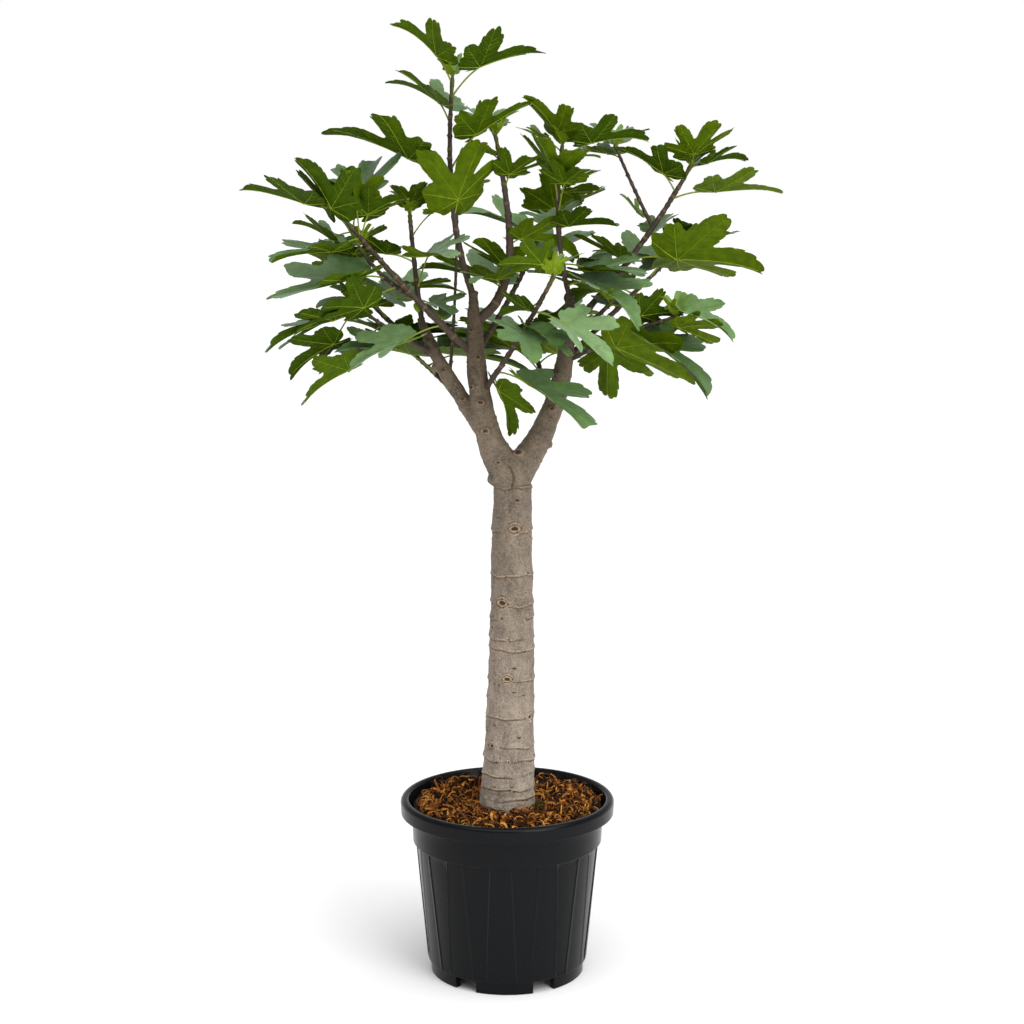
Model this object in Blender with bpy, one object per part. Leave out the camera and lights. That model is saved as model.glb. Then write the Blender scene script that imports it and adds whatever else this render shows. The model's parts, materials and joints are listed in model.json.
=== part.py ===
"""A fig tree in a round nursery pot: a bare trunk that forks into boughs, with open, large-leaved shoots.

Metres, +Z up. The origin is on the pot's axis, on the surface that its foot stands on.
Headings are degrees seen from above: 0 is right (+X), 90 away (+Y), 180 left, 270 towards the front.
"""

import math
import random
from collections import namedtuple

import bmesh
import bpy
from mathutils import Vector
from mathutils.bvhtree import BVHTree

GAP = 0.0003
SEED = 7

# The pot, as radii about its axis and heights above the ground
POT_SIDES = 72
SOIL_SIDES = 36
FOOT_RADIUS = 0.1445
FOOT_WIDTH = 0.012
FOOT_HEIGHT = 0.024
PAD_RADIUS = 0.055
BODY_FOOT_RADIUS = 0.150
BODY_TOP_RADIUS = 0.1715
COLLAR_BOTTOM = 0.2525
COLLAR_RADIUS = 0.177
COLLAR_TOP_RADIUS = 0.179
LIP_BOTTOM = 0.3070
LIP_TOP = 0.3345
LIP_RADIUS = 0.200
LIP_ROUND = 0.005
MOUTH_RADIUS = 0.184
POT_WALL = 0.006
FLOOR_THICKNESS = 0.004
FLUTES = 12
FLUTE_DEPTH = 0.0024
FLUTE_TURN = 11.0
FLUTE_TOP_WIDTH = 18.0
FLUTE_FOOT_WIDTH = 9.5
NOTCHES = 6
NOTCH_WIDTH = 0.044
NOTCH_TURN = 58.0
NOTCH_GAP = 0.003

# The substrate, and the trunk that rises from its surface
SOIL_EDGE = 0.323
SOIL_MIDDLE = 0.317
GROUND = SOIL_MIDDLE + GAP
TRUNK_SIDES = 12
TRUNK_HEIGHTS = (0.000, 0.020, 0.050, 0.130, 0.280, 0.395, 0.490, 0.580, 0.640)
TRUNK_RADII = (0.0530, 0.0500, 0.0485, 0.0450, 0.0420, 0.0388, 0.0376, 0.0350, 0.0330)
TRUNK_DRIFT = (0.000, 0.001, 0.002, 0.004, 0.008, 0.009, 0.008, 0.010, 0.008)
LEAF_SCARS = (0.029, 0.056, 0.085, 0.112, 0.168, 0.239, 0.298, 0.319, 0.357, 0.387, 0.438, 0.523, 0.600)
SCAR_SWELL = 0.0014
FORK_HEIGHT = 0.622
COLLAR_SHARE = 0.19

# Limbs: parent, share of the parent's length where it leaves, heading, rise at the start and at the end,
# how early it bends, length, and its radii at the start and at the end
Limb = namedtuple("Limb", "parent share heading rise end_rise bend length radius end_radius")
BOUGHS = {
    "bough_centre": Limb("trunk", 1.0, 180, 49, 88, 3.0, 0.352, 0.0272, 0.0118),
    "bough_right": Limb("trunk", 1.0, 4, 47, 88, 1.6, 0.358, 0.0258, 0.0104),
    "bough_left": Limb("bough_centre", 0.26, 163, 48, 70, 0.8, 0.246, 0.0168, 0.0090),
}
SHOOTS = {
    "leader": Limb("bough_centre", 0.97, 180, 70, 94, 1.6, 0.396, 0.0065, 0.0030),
    "second_leader": Limb("bough_centre", 0.83, 12, 28, 100, 3.2, 0.362, 0.0095, 0.0030),
    "back_shoot": Limb("bough_left", 0.50, 60, 80, 90, 1.0, 0.335, 0.0030, 0.0022),
    "left_upright": Limb("bough_left", 0.96, 180, 82, 86, 1.0, 0.200, 0.0050, 0.0036),
    "left_outer": Limb("bough_centre", 0.66, 200, 42, 50, 1.0, 0.362, 0.0070, 0.0032),
    "left_inner": Limb("left_outer", 0.44, 170, 24, 60, 1.0, 0.140, 0.0045, 0.0027),
    "low_left": Limb("bough_left", 0.70, 200, 26, 38, 1.0, 0.190, 0.0040, 0.0027),
    "right_outer": Limb("bough_right", 0.82, 14, 44, 60, 1.0, 0.376, 0.0064, 0.0034),
    "right_twig": Limb("right_outer", 0.64, 150, 60, 64, 1.0, 0.164, 0.0036, 0.0024),
    "right_short": Limb("bough_right", 0.76, 320, 32, 42, 1.0, 0.122, 0.0046, 0.0034),
    "right_low": Limb("bough_right", 0.65, 336, 28, 18, 1.0, 0.232, 0.0042, 0.0026),
    "right_upright": Limb("bough_right", 0.96, 180, 75, 99, 1.0, 0.285, 0.0048, 0.0030),
    "front_shoot": Limb("bough_centre", 0.46, 312, 44, 54, 1.0, 0.300, 0.0052, 0.0034),
    "rear_left": Limb("bough_left", 0.66, 142, 24, 46, 1.0, 0.320, 0.0055, 0.0030),
    "rear_centre": Limb("bough_centre", 0.68, 60, 34, 50, 1.0, 0.355, 0.0060, 0.0030),
    "rear_right": Limb("bough_right", 0.66, 47, 31, 29, 1.0, 0.385, 0.0058, 0.0030),
    "rear_low": Limb("bough_right", 0.40, 98, 24, 22, 1.0, 0.300, 0.0052, 0.0030),
    "rear_far_left": Limb("bough_left", 0.24, 120, 23, 16, 1.0, 0.300, 0.0050, 0.0028),
}
# The share of each shoot that is a bare limb, which ends between two corners of its axis. Shoots that
# aren't named here carry on from a bough's tip.
BARE_SHARES = {
    "second_leader": 0.20,
    "back_shoot": 0.45,
    "left_outer": 0.14,
    "left_inner": 0.22,
    "low_left": 0.28,
    "right_outer": 0.28,
    "right_twig": 0.08,
    "right_short": 0.60,
    "right_low": 0.29,
    "front_shoot": 0.14,
    "rear_left": 0.40,
    "rear_centre": 0.40,
    "rear_right": 0.40,
    "rear_low": 0.40,
    "rear_far_left": 0.40,
}
BOUGH_SIDES = 10
SHOOT_SIDES = 5
BOUGH_STEPS = 9
SHOOT_STEPS = 6

# Leaves: share of the shoot, heading, rise and length of the stalk, rise and length of the blade, and roll,
# which lifts the edge nearer the front. Lengths are in millimetres, angles in degrees.
Leaf = namedtuple("Leaf", "share heading stalk_rise stalk rise blade roll")
LEAVES = {
    "leader": (
        (0.96, 195, 60, 55, 40, 100, 5),
        (0.90, 345, 45, 75, 13, 118, 8),
        (0.78, 155, 62, 42, 25, 112, 8),
        (0.58, 342, 52, 80, 24, 115, 12),
        (0.50, 192, 34, 92, 18, 152, 8),
        (0.37, 272, 65, 35, 50, 132, 0),
    ),
    "second_leader": (
        (0.93, 140, 40, 66, 14, 80, 5),
        (0.86, 150, 40, 20, 15, 55, 12),
        (0.72, 305, 60, 32, 25, 80, 15),
        (0.44, 20, 34, 25, -10, 105, 20),
        (0.23, 222, 40, 25, 3, 80, 8),
    ),
    "back_shoot": (
        (0.97, 10, 40, 20, 20, 50, 0),
        (0.90, 110, 40, 30, 10, 80, 0),
    ),
    "left_upright": (
        (0.98, 288, 62, 24, 30, 75, 5),
        (0.78, 330, 48, 58, 12, 45, 0),
        (0.55, 185, 18, 52, 0, 85, 12),
        (0.31, 340, 55, 75, 8, 105, -15),
        (0.20, 160, 5, 45, 18, 95, -15),
        (0.10, 300, 30, 35, -20, 65, -10),
    ),
    "left_outer": (
        (0.99, 185, 17, 66, 11, 116, 8),
        (0.97, 228, 30, 34, 50, 120, 0),
        (0.85, 262, 65, 60, 48, 90, 10),
        (0.84, 325, 68, 45, 22, 90, 18),
        (0.90, 75, 60, 75, 32, 105, 0),
        (0.88, 160, -15, 50, 25, 76, 12),
        (0.84, 205, -22, 60, -8, 118, 0),
        (0.25, 120, 35, 20, 40, 50, 0),
        (0.24, 205, -20, 80, -22, 112, -8),
    ),
    "left_inner": (
        (0.95, 110, -20, 30, -30, 75, 20),
        (0.45, 203, 0, 62, -20, 160, -5),
        (0.27, 210, -25, 80, 20, 90, 45),
    ),
    "low_left": (
        (0.97, 205, -40, 45, -20, 135, 12),
        (0.94, 172, -28, 40, -35, 115, -5),
        (0.92, 165, -57, 80, -24, 98, 30),
        (0.55, 215, -72, 38, 15, 97, -15),
        (0.62, 155, -48, 75, -28, 88, -15),
        (0.35, 198, -27, 118, -30, 104, 30),
    ),
    "right_outer": (
        (0.99, 300, 65, 22, 32, 95, 5),
        (0.97, 20, 16, 36, 10, 78, 12),
        (0.84, 198, 55, 42, 28, 98, 8),
        (0.80, 352, 10, 80, -2, 124, 6),
        (0.59, 30, 28, 26, 8, 60, 0),
        (0.44, 345, 2, 90, -7, 158, 35),
        (0.43, 165, 30, 15, 18, 98, 15),
    ),
    "right_twig": (
        (0.13, 165, 20, 20, 40, 50, 10),
        (0.97, 80, 30, 25, 10, 90, 0),
        (0.85, 150, 20, 25, 0, 80, 0),
    ),
    "right_upright": (
        (0.97, 220, 65, 28, 34, 100, 0),
        (0.94, 145, 36, 40, 18, 52, 0),
        (0.90, 10, 5, 26, 3, 50, 0),
        (0.88, 345, 30, 66, 5, 108, 8),
        (0.61, 205, 72, 60, 28, 106, -18),
        (0.65, 60, 30, 26, -20, 60, -8),
        (0.55, 300, 70, 60, 16, 82, 12),
        (0.47, 120, 20, 20, 30, 90, -10),
        (0.46, 342, 18, 20, 16, 93, 14),
        (0.24, 330, -10, 60, -5, 108, -8),
        (0.10, 325, 8, 58, -26, 130, 0),
    ),
    "front_shoot": (
        (0.98, 196, 50, 30, 0, 82, 38),
        (0.96, 65, 60, 30, 6, 66, 0),
        (0.80, 130, -30, 34, -6, 78, 28),
        (0.72, 335, -19, 65, -38, 105, -18),
        (0.55, 325, 8, 30, -32, 84, 5),
        (0.53, 280, 10, 38, -30, 98, 5),
        (0.22, 333, -17, 66, -36, 140, 5),
        (0.18, 55, -60, 30, -62, 96, -20),
    ),
    "right_short": (
        (0.97, 358, -20, 60, 4, 78, 45),
        (0.80, 70, 20, 30, 10, 90, 0),
    ),
    "right_low": (
        (0.98, 5, 25, 22, -8, 94, -18),
        (0.97, 30, -60, 20, -28, 94, 15),
        (0.60, 336, -25, 42, -37, 138, -8),
        (0.44, 15, -60, 16, -39, 148, 30),
        (0.40, 100, -50, 20, -50, 100, 0),
    ),
}
# Shoots at the back carry leaves by the rule of the species: one after another, turned by the golden angle.
REAR_SHOOTS = {"rear_left": 32, "rear_centre": 65, "rear_right": 15, "rear_low": 45, "rear_far_left": 72}
REAR_LEAVES = 5
GOLDEN_ANGLE = 137.5

# A blade: five lobes as angle from the midrib and radius, in blade lengths, about the end of its stalk
LOBES = ((0, 1.00), (12, 0.90), (22, 0.53), (43, 0.79), (64, 0.46), (92, 0.50), (135, 0.35))
NOTCH_RADIUS = 0.07
FAN_CENTRE = 0.25
FOLD = 0.34
ARCH = 0.16
BLADE_THICKNESS = 0.0024
BLADE_CLEARANCE = 0.0010
STALK_RADIUS = 0.0018
STALK_BOW = 0.07
STALK_IN_BLADE = 0.006
# A crowded leaf tries these turns of heading and rise, then again smaller, before it is left out.
TURNS = (0, 9, -9, 18, -18, 28, -28, 40, -40)
CLIMBS = (0, 8, -8, 16, -16)
SIZES = (1.0, 0.86)
SIZE_COST = 150

COLOURS = {
    "pot": ((0.018, 0.019, 0.021), 0.42),
    "soil": ((0.14, 0.055, 0.014), 0.95),
    "bark": ((0.36, 0.30, 0.24), 0.85),
    "shoot": ((0.09, 0.055, 0.035), 0.75),
    "leaf": ((0.07, 0.15, 0.02), 0.5),
}


def clear_scene():
    for old in list(bpy.data.objects):
        bpy.data.objects.remove(old)


def material(name):
    colour, roughness = COLOURS[name]
    found = bpy.data.materials.new(name)
    found.use_nodes = True
    shader = found.node_tree.nodes["Principled BSDF"]
    shader.inputs["Base Color"].default_value = (*colour, 1)
    shader.inputs["Roughness"].default_value = roughness
    shader.inputs["Metallic"].default_value = 0
    return found


def object_of(shape, name, finish=None, collection=None):
    """An object made from a bmesh, which it frees."""
    bmesh.ops.recalc_face_normals(shape, faces=shape.faces)
    mesh = bpy.data.meshes.new(name)
    shape.to_mesh(mesh)
    shape.free()
    made = bpy.data.objects.new(name, mesh)
    (collection or bpy.context.scene.collection).objects.link(made)
    if finish:
        mesh.materials.append(material(finish))
    return made


def keep_main_body(made):
    """Drops the loose scraps and fills the sealed hollows that a union can leave."""
    shape = bmesh.new()
    shape.from_mesh(made.data)
    left = set(shape.verts)
    bodies = []
    while left:
        body = set()
        edge_of_body = [left.pop()]
        while edge_of_body:
            vertex = edge_of_body.pop()
            body.add(vertex)
            for edge in vertex.link_edges:
                other = edge.other_vert(vertex)
                if other in left:
                    left.remove(other)
                    edge_of_body.append(other)
        bodies.append(body)
    main = max(bodies, key=len)
    scraps = [vertex for vertex in shape.verts if vertex not in main]
    bmesh.ops.delete(shape, geom=scraps, context="VERTS")
    shape.to_mesh(made.data)
    shape.free()


def apply_modifiers(made):
    graph = bpy.context.evaluated_depsgraph_get()
    shaped = bpy.data.meshes.new_from_object(made.evaluated_get(graph))
    made.modifiers.clear()
    made.data = shaped


def cut(made, cutters):
    """Takes the cutters out of the object, and removes them."""
    for cutter in cutters:
        cutter.hide_render = True
        cutter.display_type = "WIRE"
        modifier = made.modifiers.new("cut", "BOOLEAN")
        modifier.operation = "DIFFERENCE"
        modifier.solver = "EXACT"
        modifier.object = cutter
    apply_modifiers(made)
    for cutter in cutters:
        bpy.data.objects.remove(cutter)


def closed(made):
    shape = bmesh.new()
    shape.from_mesh(made.data)
    whole = all(len(edge.link_faces) == 2 for edge in shape.edges)
    shape.free()
    return whole


def fuse(made, collection):
    """Joins the collection's solids to the object by one union, and removes them."""
    plain = made.data.copy()
    for solver in ("EXACT", "MANIFOLD"):
        made.data = plain.copy()
        modifier = made.modifiers.new("fuse", "BOOLEAN")
        modifier.operation = "UNION"
        modifier.operand_type = "COLLECTION"
        modifier.collection = collection
        modifier.solver = solver
        apply_modifiers(made)
        if closed(made):
            break
    for used in list(collection.objects):
        bpy.data.objects.remove(used)
    bpy.data.collections.remove(collection)
    keep_main_body(made)


def parts_collection(name):
    made = bpy.data.collections.new(name)
    bpy.context.scene.collection.children.link(made)
    return made


def direction(heading, rise):
    turn = math.radians(heading)
    climb = math.radians(rise)
    return Vector((math.cos(climb) * math.cos(turn), math.cos(climb) * math.sin(turn), math.sin(climb)))


def rings(points, radii, sides):
    """Corner points of a tube's rings, with no twist between one and the next."""
    across = Vector((1, 0, 0))
    found = []
    for i, (point, radius) in enumerate(zip(points, radii)):
        along = points[min(i + 1, len(points) - 1)] - points[max(i - 1, 0)]
        along.normalize()
        across = across - along * across.dot(along)
        if across.length < 0.1:
            across = Vector((0, 1, 0)) - along * along.y
        across.normalize()
        up = along.cross(across)
        turns = [math.tau * k / sides for k in range(sides)]
        found.append([point + radius * (math.cos(a) * across + math.sin(a) * up) for a in turns])
    return found


def tube_faces(count, sides):
    faces = [tuple(reversed(range(sides))), tuple(range((count - 1) * sides, count * sides))]
    for i in range(count - 1):
        for k in range(sides):
            low = i * sides
            high = low + sides
            after = (k + 1) % sides
            faces.append((low + k, low + after, high + after, high + k))
    return faces


def tube(points, radii, sides):
    """(corners, faces) of a closed tube through the points."""
    corners = [corner for ring in rings(points, radii, sides) for corner in ring]
    return corners, tube_faces(len(points), sides)


def shape_of(corners, faces):
    shape = bmesh.new()
    made = [shape.verts.new(corner) for corner in corners]
    for face in faces:
        shape.faces.new([made[i] for i in face])
    return shape


def between(value, stops, results):
    """The result at value, on straight lines between the stops."""
    for i in range(len(stops) - 1):
        if value <= stops[i + 1]:
            share = (value - stops[i]) / (stops[i + 1] - stops[i])
            return results[i] + (results[i + 1] - results[i]) * max(share, 0)
    return results[-1]


class Axis:
    """The middle line of a limb, with its radius along it."""

    def __init__(self, limb, start, steps):
        self.points = [start]
        self.radii = [limb.radius]
        for i in range(steps):
            share = (i + 0.5) / steps
            rise = limb.end_rise + (limb.rise - limb.end_rise) * (1 - share) ** limb.bend
            self.points.append(self.points[-1] + direction(limb.heading, rise) * limb.length / steps)
            self.radii.append(limb.radius + (limb.end_radius - limb.radius) * (i + 1) / steps)

    def at(self, share):
        place = min(max(share, 0), 1) * (len(self.points) - 1)
        low = min(int(place), len(self.points) - 2)
        return self.points[low].lerp(self.points[low + 1], place - low)

    def radius_at(self, share):
        place = min(max(share, 0), 1) * (len(self.points) - 1)
        low = min(int(place), len(self.points) - 2)
        return self.radii[low] + (self.radii[low + 1] - self.radii[low]) * (place - low)

    def stretch(self, first, last):
        """The points and radii from one share to another."""
        count = len(self.points) - 1
        inner = [i / count for i in range(count + 1) if first + 0.02 < i / count < last - 0.02]
        shares = [first, *inner, last]
        return [self.at(s) for s in shares], [self.radius_at(s) for s in shares]


def trunk_point(height):
    return Vector((between(height, TRUNK_HEIGHTS, TRUNK_DRIFT), 0, GROUND + height))


def grow_axes():
    """Every bough and shoot, each from its place on its parent."""
    axes = {}
    for name, limb in {**BOUGHS, **SHOOTS}.items():
        steps = BOUGH_STEPS if name in BOUGHS else SHOOT_STEPS
        start = trunk_point(FORK_HEIGHT) if limb.parent == "trunk" else axes[limb.parent].at(limb.share)
        axes[name] = Axis(limb, start, steps)
    return axes


def pot_profile():
    """Half the pot's section, as (radius, height, columns), from the pad under its middle out to the foot, up
    the outside and down the inside. The columns say at which angles the corners of that ring lie."""
    inner_foot = BODY_FOOT_RADIUS - POT_WALL
    round_top = LIP_TOP - LIP_ROUND
    return (
        (PAD_RADIUS, 0, "foot"),
        (PAD_RADIUS + 0.004, FOOT_HEIGHT, "foot"),
        (FOOT_RADIUS - FOOT_WIDTH, FOOT_HEIGHT, "foot"),
        (FOOT_RADIUS - FOOT_WIDTH, 0, "notched"),
        (FOOT_RADIUS, 0, "notched"),
        (FOOT_RADIUS, FOOT_HEIGHT - 0.001, "foot"),
        (BODY_FOOT_RADIUS, FOOT_HEIGHT, "body"),
        (BODY_FOOT_RADIUS, FOOT_HEIGHT + 0.004, "fluted"),
        (BODY_TOP_RADIUS, COLLAR_BOTTOM - 0.001, "fluted"),
        (COLLAR_RADIUS, COLLAR_BOTTOM, "body"),
        (COLLAR_TOP_RADIUS, LIP_BOTTOM, "even"),
        (LIP_RADIUS - 0.003, LIP_BOTTOM, "even"),
        (LIP_RADIUS, round_top, "even"),
        (LIP_RADIUS - LIP_ROUND, LIP_TOP, "even"),
        (MOUTH_RADIUS + LIP_ROUND, LIP_TOP, "even"),
        (MOUTH_RADIUS, round_top, "even"),
        (COLLAR_TOP_RADIUS - POT_WALL, LIP_BOTTOM - 0.002, "even"),
        (inner_foot, FOOT_HEIGHT + FLOOR_THICKNESS, "even"),
    )


def foot_columns():
    """Angles of the foot's corners, with two close together at each side of a notch."""
    half = math.degrees(NOTCH_WIDTH / 2 / FOOT_RADIUS)
    offsets = (-30, -24, -18, -13, -half - 0.3, -half + 0.3, 0, half - 0.3, half + 0.3, 13, 18, 24)
    return [NOTCH_TURN + 360 / NOTCHES * k + off for k in range(NOTCHES) for off in offsets]


def body_columns(height):
    """Angles of the body's corners at a height: the flutes narrow towards the foot."""
    share = min(max((height - FOOT_HEIGHT) / (COLLAR_BOTTOM - FOOT_HEIGHT), 0), 1)
    half = (FLUTE_FOOT_WIDTH + (FLUTE_TOP_WIDTH - FLUTE_FOOT_WIDTH) * share) / 2
    offsets = (-180 / FLUTES, -half, -half + 0.5, 0, half - 0.5, half)
    return [FLUTE_TURN + 360 / FLUTES * k + off for k in range(FLUTES) for off in offsets]


def pot_ring(radius, height, columns):
    """The corners of one ring of the pot."""
    if columns in ("foot", "notched"):
        angles = foot_columns()
    elif columns in ("body", "fluted"):
        angles = body_columns(height)
    else:
        angles = [NOTCH_TURN - 30 + 360 / POT_SIDES * k for k in range(POT_SIDES)]
    corners = []
    for k, angle in enumerate(angles):
        turn = math.radians(angle)
        sunk = FLUTE_DEPTH if columns == "fluted" and k % 6 in (2, 3, 4) else 0
        raised = FOOT_HEIGHT - NOTCH_GAP if columns == "notched" and k % 12 in (5, 6, 7) else height
        reach = radius - sunk
        corners.append(Vector((reach * math.cos(turn), reach * math.sin(turn), raised)))
    return corners


def turned(profile, sides):
    """A solid turned about Z, with a flat face inside its first and its last ring."""
    turns = [math.tau * k / sides for k in range(sides)]
    corners = [Vector((r * math.cos(a), r * math.sin(a), z)) for r, z in profile for a in turns]
    return shape_of(corners, tube_faces(len(profile), sides))


def make_pot():
    """The pot as one skin of rings, with its flutes sunk in and the notches cut into its foot."""
    corners = [corner for ring in pot_profile() for corner in pot_ring(*ring)]
    object_of(shape_of(corners, tube_faces(len(pot_profile()), POT_SIDES)), "pot", "pot")


def make_soil():
    inside = COLLAR_TOP_RADIUS - POT_WALL
    slope = (inside - (BODY_FOOT_RADIUS - POT_WALL)) / (LIP_BOTTOM - 0.002 - FOOT_HEIGHT - FLOOR_THICKNESS)
    mouth_slope = (MOUTH_RADIUS - inside) / (LIP_TOP - LIP_ROUND - LIP_BOTTOM + 0.002)
    bottom = FOOT_HEIGHT + FLOOR_THICKNESS + GAP
    gap = 2 * GAP
    profile = (
        (BODY_FOOT_RADIUS - POT_WALL + slope * GAP - gap, bottom),
        (inside - gap, LIP_BOTTOM - 0.002),
        (inside + mouth_slope * (SOIL_EDGE - LIP_BOTTOM + 0.002) - gap, SOIL_EDGE),
        (0.15, SOIL_EDGE),
        (0.09, SOIL_MIDDLE + 0.001),
        (0.075, SOIL_MIDDLE),
    )
    object_of(turned(profile, SOIL_SIDES), "soil", "soil")


def trunk_heights():
    """Heights of the trunk's rings: one on each leaf scar and one between each two."""
    found = [0, 0.014]
    for low, high in zip(LEAF_SCARS, LEAF_SCARS[1:] + (TRUNK_HEIGHTS[-1] - 0.012,)):
        found.append(low)
        if high - low > 0.024:
            found.append((low + high) / 2)
    return found + [TRUNK_HEIGHTS[-1] - 0.006, TRUNK_HEIGHTS[-1] + 0.004]


def make_trunk(axes):
    """The trunk with the two collars of its fork fused on, each cut flat where its bough goes on."""
    heights = trunk_heights()
    radii = [between(h, TRUNK_HEIGHTS, TRUNK_RADII) + SCAR_SWELL * (h in LEAF_SCARS) for h in heights]
    radii[-1] *= 0.72
    corners, faces = tube([trunk_point(h) for h in heights], radii, TRUNK_SIDES)
    for corner in corners[:TRUNK_SIDES]:
        corner.z = GROUND
    trunk = object_of(shape_of(corners, faces), "trunk", "bark")
    collars = parts_collection("collars")
    for name in ("bough_centre", "bough_right"):
        points, thick = axes[name].stretch(0, COLLAR_SHARE)
        points[0] = points[0] - Vector((0, 0, 0.004))
        object_of(shape_of(*tube(points, thick, BOUGH_SIDES)), "collar", None, collars)
    fuse(trunk, collars)


def sleeve(axis, sides):
    """A cutter a little larger than the limb, so that what grows from it keeps clear."""
    points, radii = axis.stretch(0, 1)
    past = (points[-1] - points[-2]).normalized()
    points[-1] = points[-1] + past * GAP
    return object_of(shape_of(*tube(points, [r + 1.4 * GAP for r in radii], sides)), "sleeve")


def sides_of(name):
    return BOUGH_SIDES if name in BOUGHS else SHOOT_SIDES


def make_boughs(axes):
    for name, limb in BOUGHS.items():
        axis = axes[name]
        if limb.parent == "trunk":
            points, radii = axis.stretch(COLLAR_SHARE + GAP / limb.length, 1)
        else:
            points, radii = axis.stretch(0, 1)
        bough = object_of(shape_of(*tube(points, radii, BOUGH_SIDES)), name, "bark")
        if limb.parent != "trunk":
            cut(bough, [sleeve(axes[limb.parent], BOUGH_SIDES)])


def make_bare_limbs(axes):
    for name, share in BARE_SHARES.items():
        parent = SHOOTS[name].parent
        corners, faces = tube(*axes[name].stretch(0, share), SHOOT_SIDES)
        limb = object_of(shape_of(corners, faces), name + "_limb", "shoot")
        cut(limb, [sleeve(axes[parent], sides_of(parent))])


def stem_solid(name, axes):
    """(corners, faces) of the stem that a foliage mass grows on."""
    bare = BARE_SHARES.get(name, 0)
    first = bare + GAP / SHOOTS[name].length if bare else 0
    return tube(*axes[name].stretch(first, 1), SHOOT_SIDES)


def rear_rows(name):
    """Leaves by the rule, from low on the shoot to its tip, smaller towards the tip."""
    rule = random.Random(f"{REAR_SHOOTS[name]} {name}")
    first = BARE_SHARES[name] + 0.04
    rows = []
    turn = SHOOTS[name].heading + 70
    for i in range(REAR_LEAVES):
        share = first + (0.98 - first) * i / (REAR_LEAVES - 1)
        stalk = rule.uniform(45, 75) * (1.1 - 0.4 * share)
        rise = rule.uniform(-16, 12) + 12 * share
        blade = rule.uniform(125, 165) * (1.1 - 0.3 * share)
        rows.append((share, turn % 360, rule.uniform(15, 45), stalk, rise, blade, rule.uniform(-12, 12)))
        turn += GOLDEN_ANGLE + rule.uniform(-12, 12)
    return rows


def leaf_rows(name):
    rows = LEAVES.get(name) or rear_rows(name)
    return [Leaf(*row) for row in rows]


def leaf_frame(leaf):
    """Unit vectors along the midrib, to the left of it and out of the upper side."""
    midrib = direction(leaf.heading, leaf.rise)
    turn = math.radians(leaf.heading)
    level = Vector((-math.sin(turn), math.cos(turn), 0))
    upper = midrib.cross(level)
    roll = math.radians(leaf.roll) * (-1 if math.cos(turn) > 0 else 1)
    left = level * math.cos(roll) + upper * math.sin(roll)
    return midrib, left, midrib.cross(left)


def stalk_line(leaf, axis):
    """The stalk's middle line, from inside the shoot to the blade's foot."""
    root = axis.at(leaf.share)
    reach = direction(leaf.heading, leaf.stalk_rise) * leaf.stalk / 1000
    bow = Vector((0, 0, STALK_BOW * leaf.stalk / 1000))
    return [root, root + reach * 0.5 + bow, root + reach]


def blade_outline():
    """(angle, radius) all round the blade, from its tip by the left side and back by the right."""
    left = [(math.radians(angle), radius) for angle, radius in LOBES]
    right = [(-angle, radius) for angle, radius in reversed(left[1:])]
    return left + [(math.pi, NOTCH_RADIUS)] + right


def blade_solid(leaf, foot, thickness, grown=1.0):
    """(corners, faces) of a folded blade: an upper and a lower fan about a point of its midrib, and the rim."""
    midrib, left, upper = leaf_frame(leaf)
    size = leaf.blade / 1000 * grown
    outline = [(FAN_CENTRE, 0.0)] + [(r * math.cos(a), r * math.sin(a)) for a, r in blade_outline()]
    corners = []
    for side in (0.5, -0.5):
        for u, v in outline:
            height = (FOLD * abs(v) + ARCH * u * (1 - abs(u))) * size + side * thickness
            corners.append(foot + midrib * u * size + left * v * size + upper * height)
    count = len(outline)
    rim = count - 1
    faces = []
    for i in range(1, count):
        after = i % rim + 1
        faces.append((0, i, after))
        faces.append((count, count + after, count + i))
        faces.append((i, count + i, count + after))
        faces.append((i, count + after, after))
    return corners, faces


def stalk_solid(leaf, line, thicker=0.0):
    midrib = leaf_frame(leaf)[0]
    points = line + [line[-1] + midrib * STALK_IN_BLADE]
    radii = [STALK_RADIUS * share + thicker for share in (1.2, 1.0, 0.95, 0.8)]
    return tube(points, radii, 3)


class Space:
    """What is already placed. A leaf is fitted only where it keeps clear of all of it."""

    def __init__(self):
        self.placed = []

    @staticmethod
    def entry(corners, faces):
        middle = sum(corners, Vector()) / len(corners)
        reach = max((corner - middle).length for corner in corners)
        return BVHTree.FromPolygons(corners, faces), middle, reach

    def add(self, solid, owner):
        self.placed.append((*self.entry(*solid), owner))

    def is_free(self, solid, fused_with):
        """Whether the solid keeps clear of all but what it is fused with."""
        tree, middle, reach = self.entry(*solid)
        for other, centre, extent, owner in self.placed:
            if owner in fused_with:
                continue
            if (centre - middle).length < reach + extent and tree.overlap(other):
                return False
        return True


def nudges():
    """(size, turn, climb) to try, the least first, with a small change of each kind before a large one."""
    found = [(size, turn, climb) for size in SIZES for turn in TURNS for climb in CLIMBS]
    return sorted(found, key=lambda n: (abs(n[1]) + abs(n[2]) + SIZE_COST * (1 - n[0]), n))


def fits(name, leaf, axis, space, friends):
    """Whether the leaf keeps clear of all but its friends. Its stalk may leave its own stem, and come back to
    neither that nor another."""
    line = stalk_line(leaf, axis)
    far_line = [line[0].lerp(line[1], 0.8), line[1].lerp(line[2], 0.5), line[2]]
    blade = blade_solid(leaf, line[-1], BLADE_THICKNESS + 2 * BLADE_CLEARANCE, 1.02)
    return (
        space.is_free(blade, friends)
        and space.is_free(stalk_solid(leaf, far_line, BLADE_CLEARANCE), friends)
        and space.is_free(stalk_solid(leaf, line, BLADE_CLEARANCE), friends | {stem_of(name)})
    )


def stem_of(name):
    return name + " stem"


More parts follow.
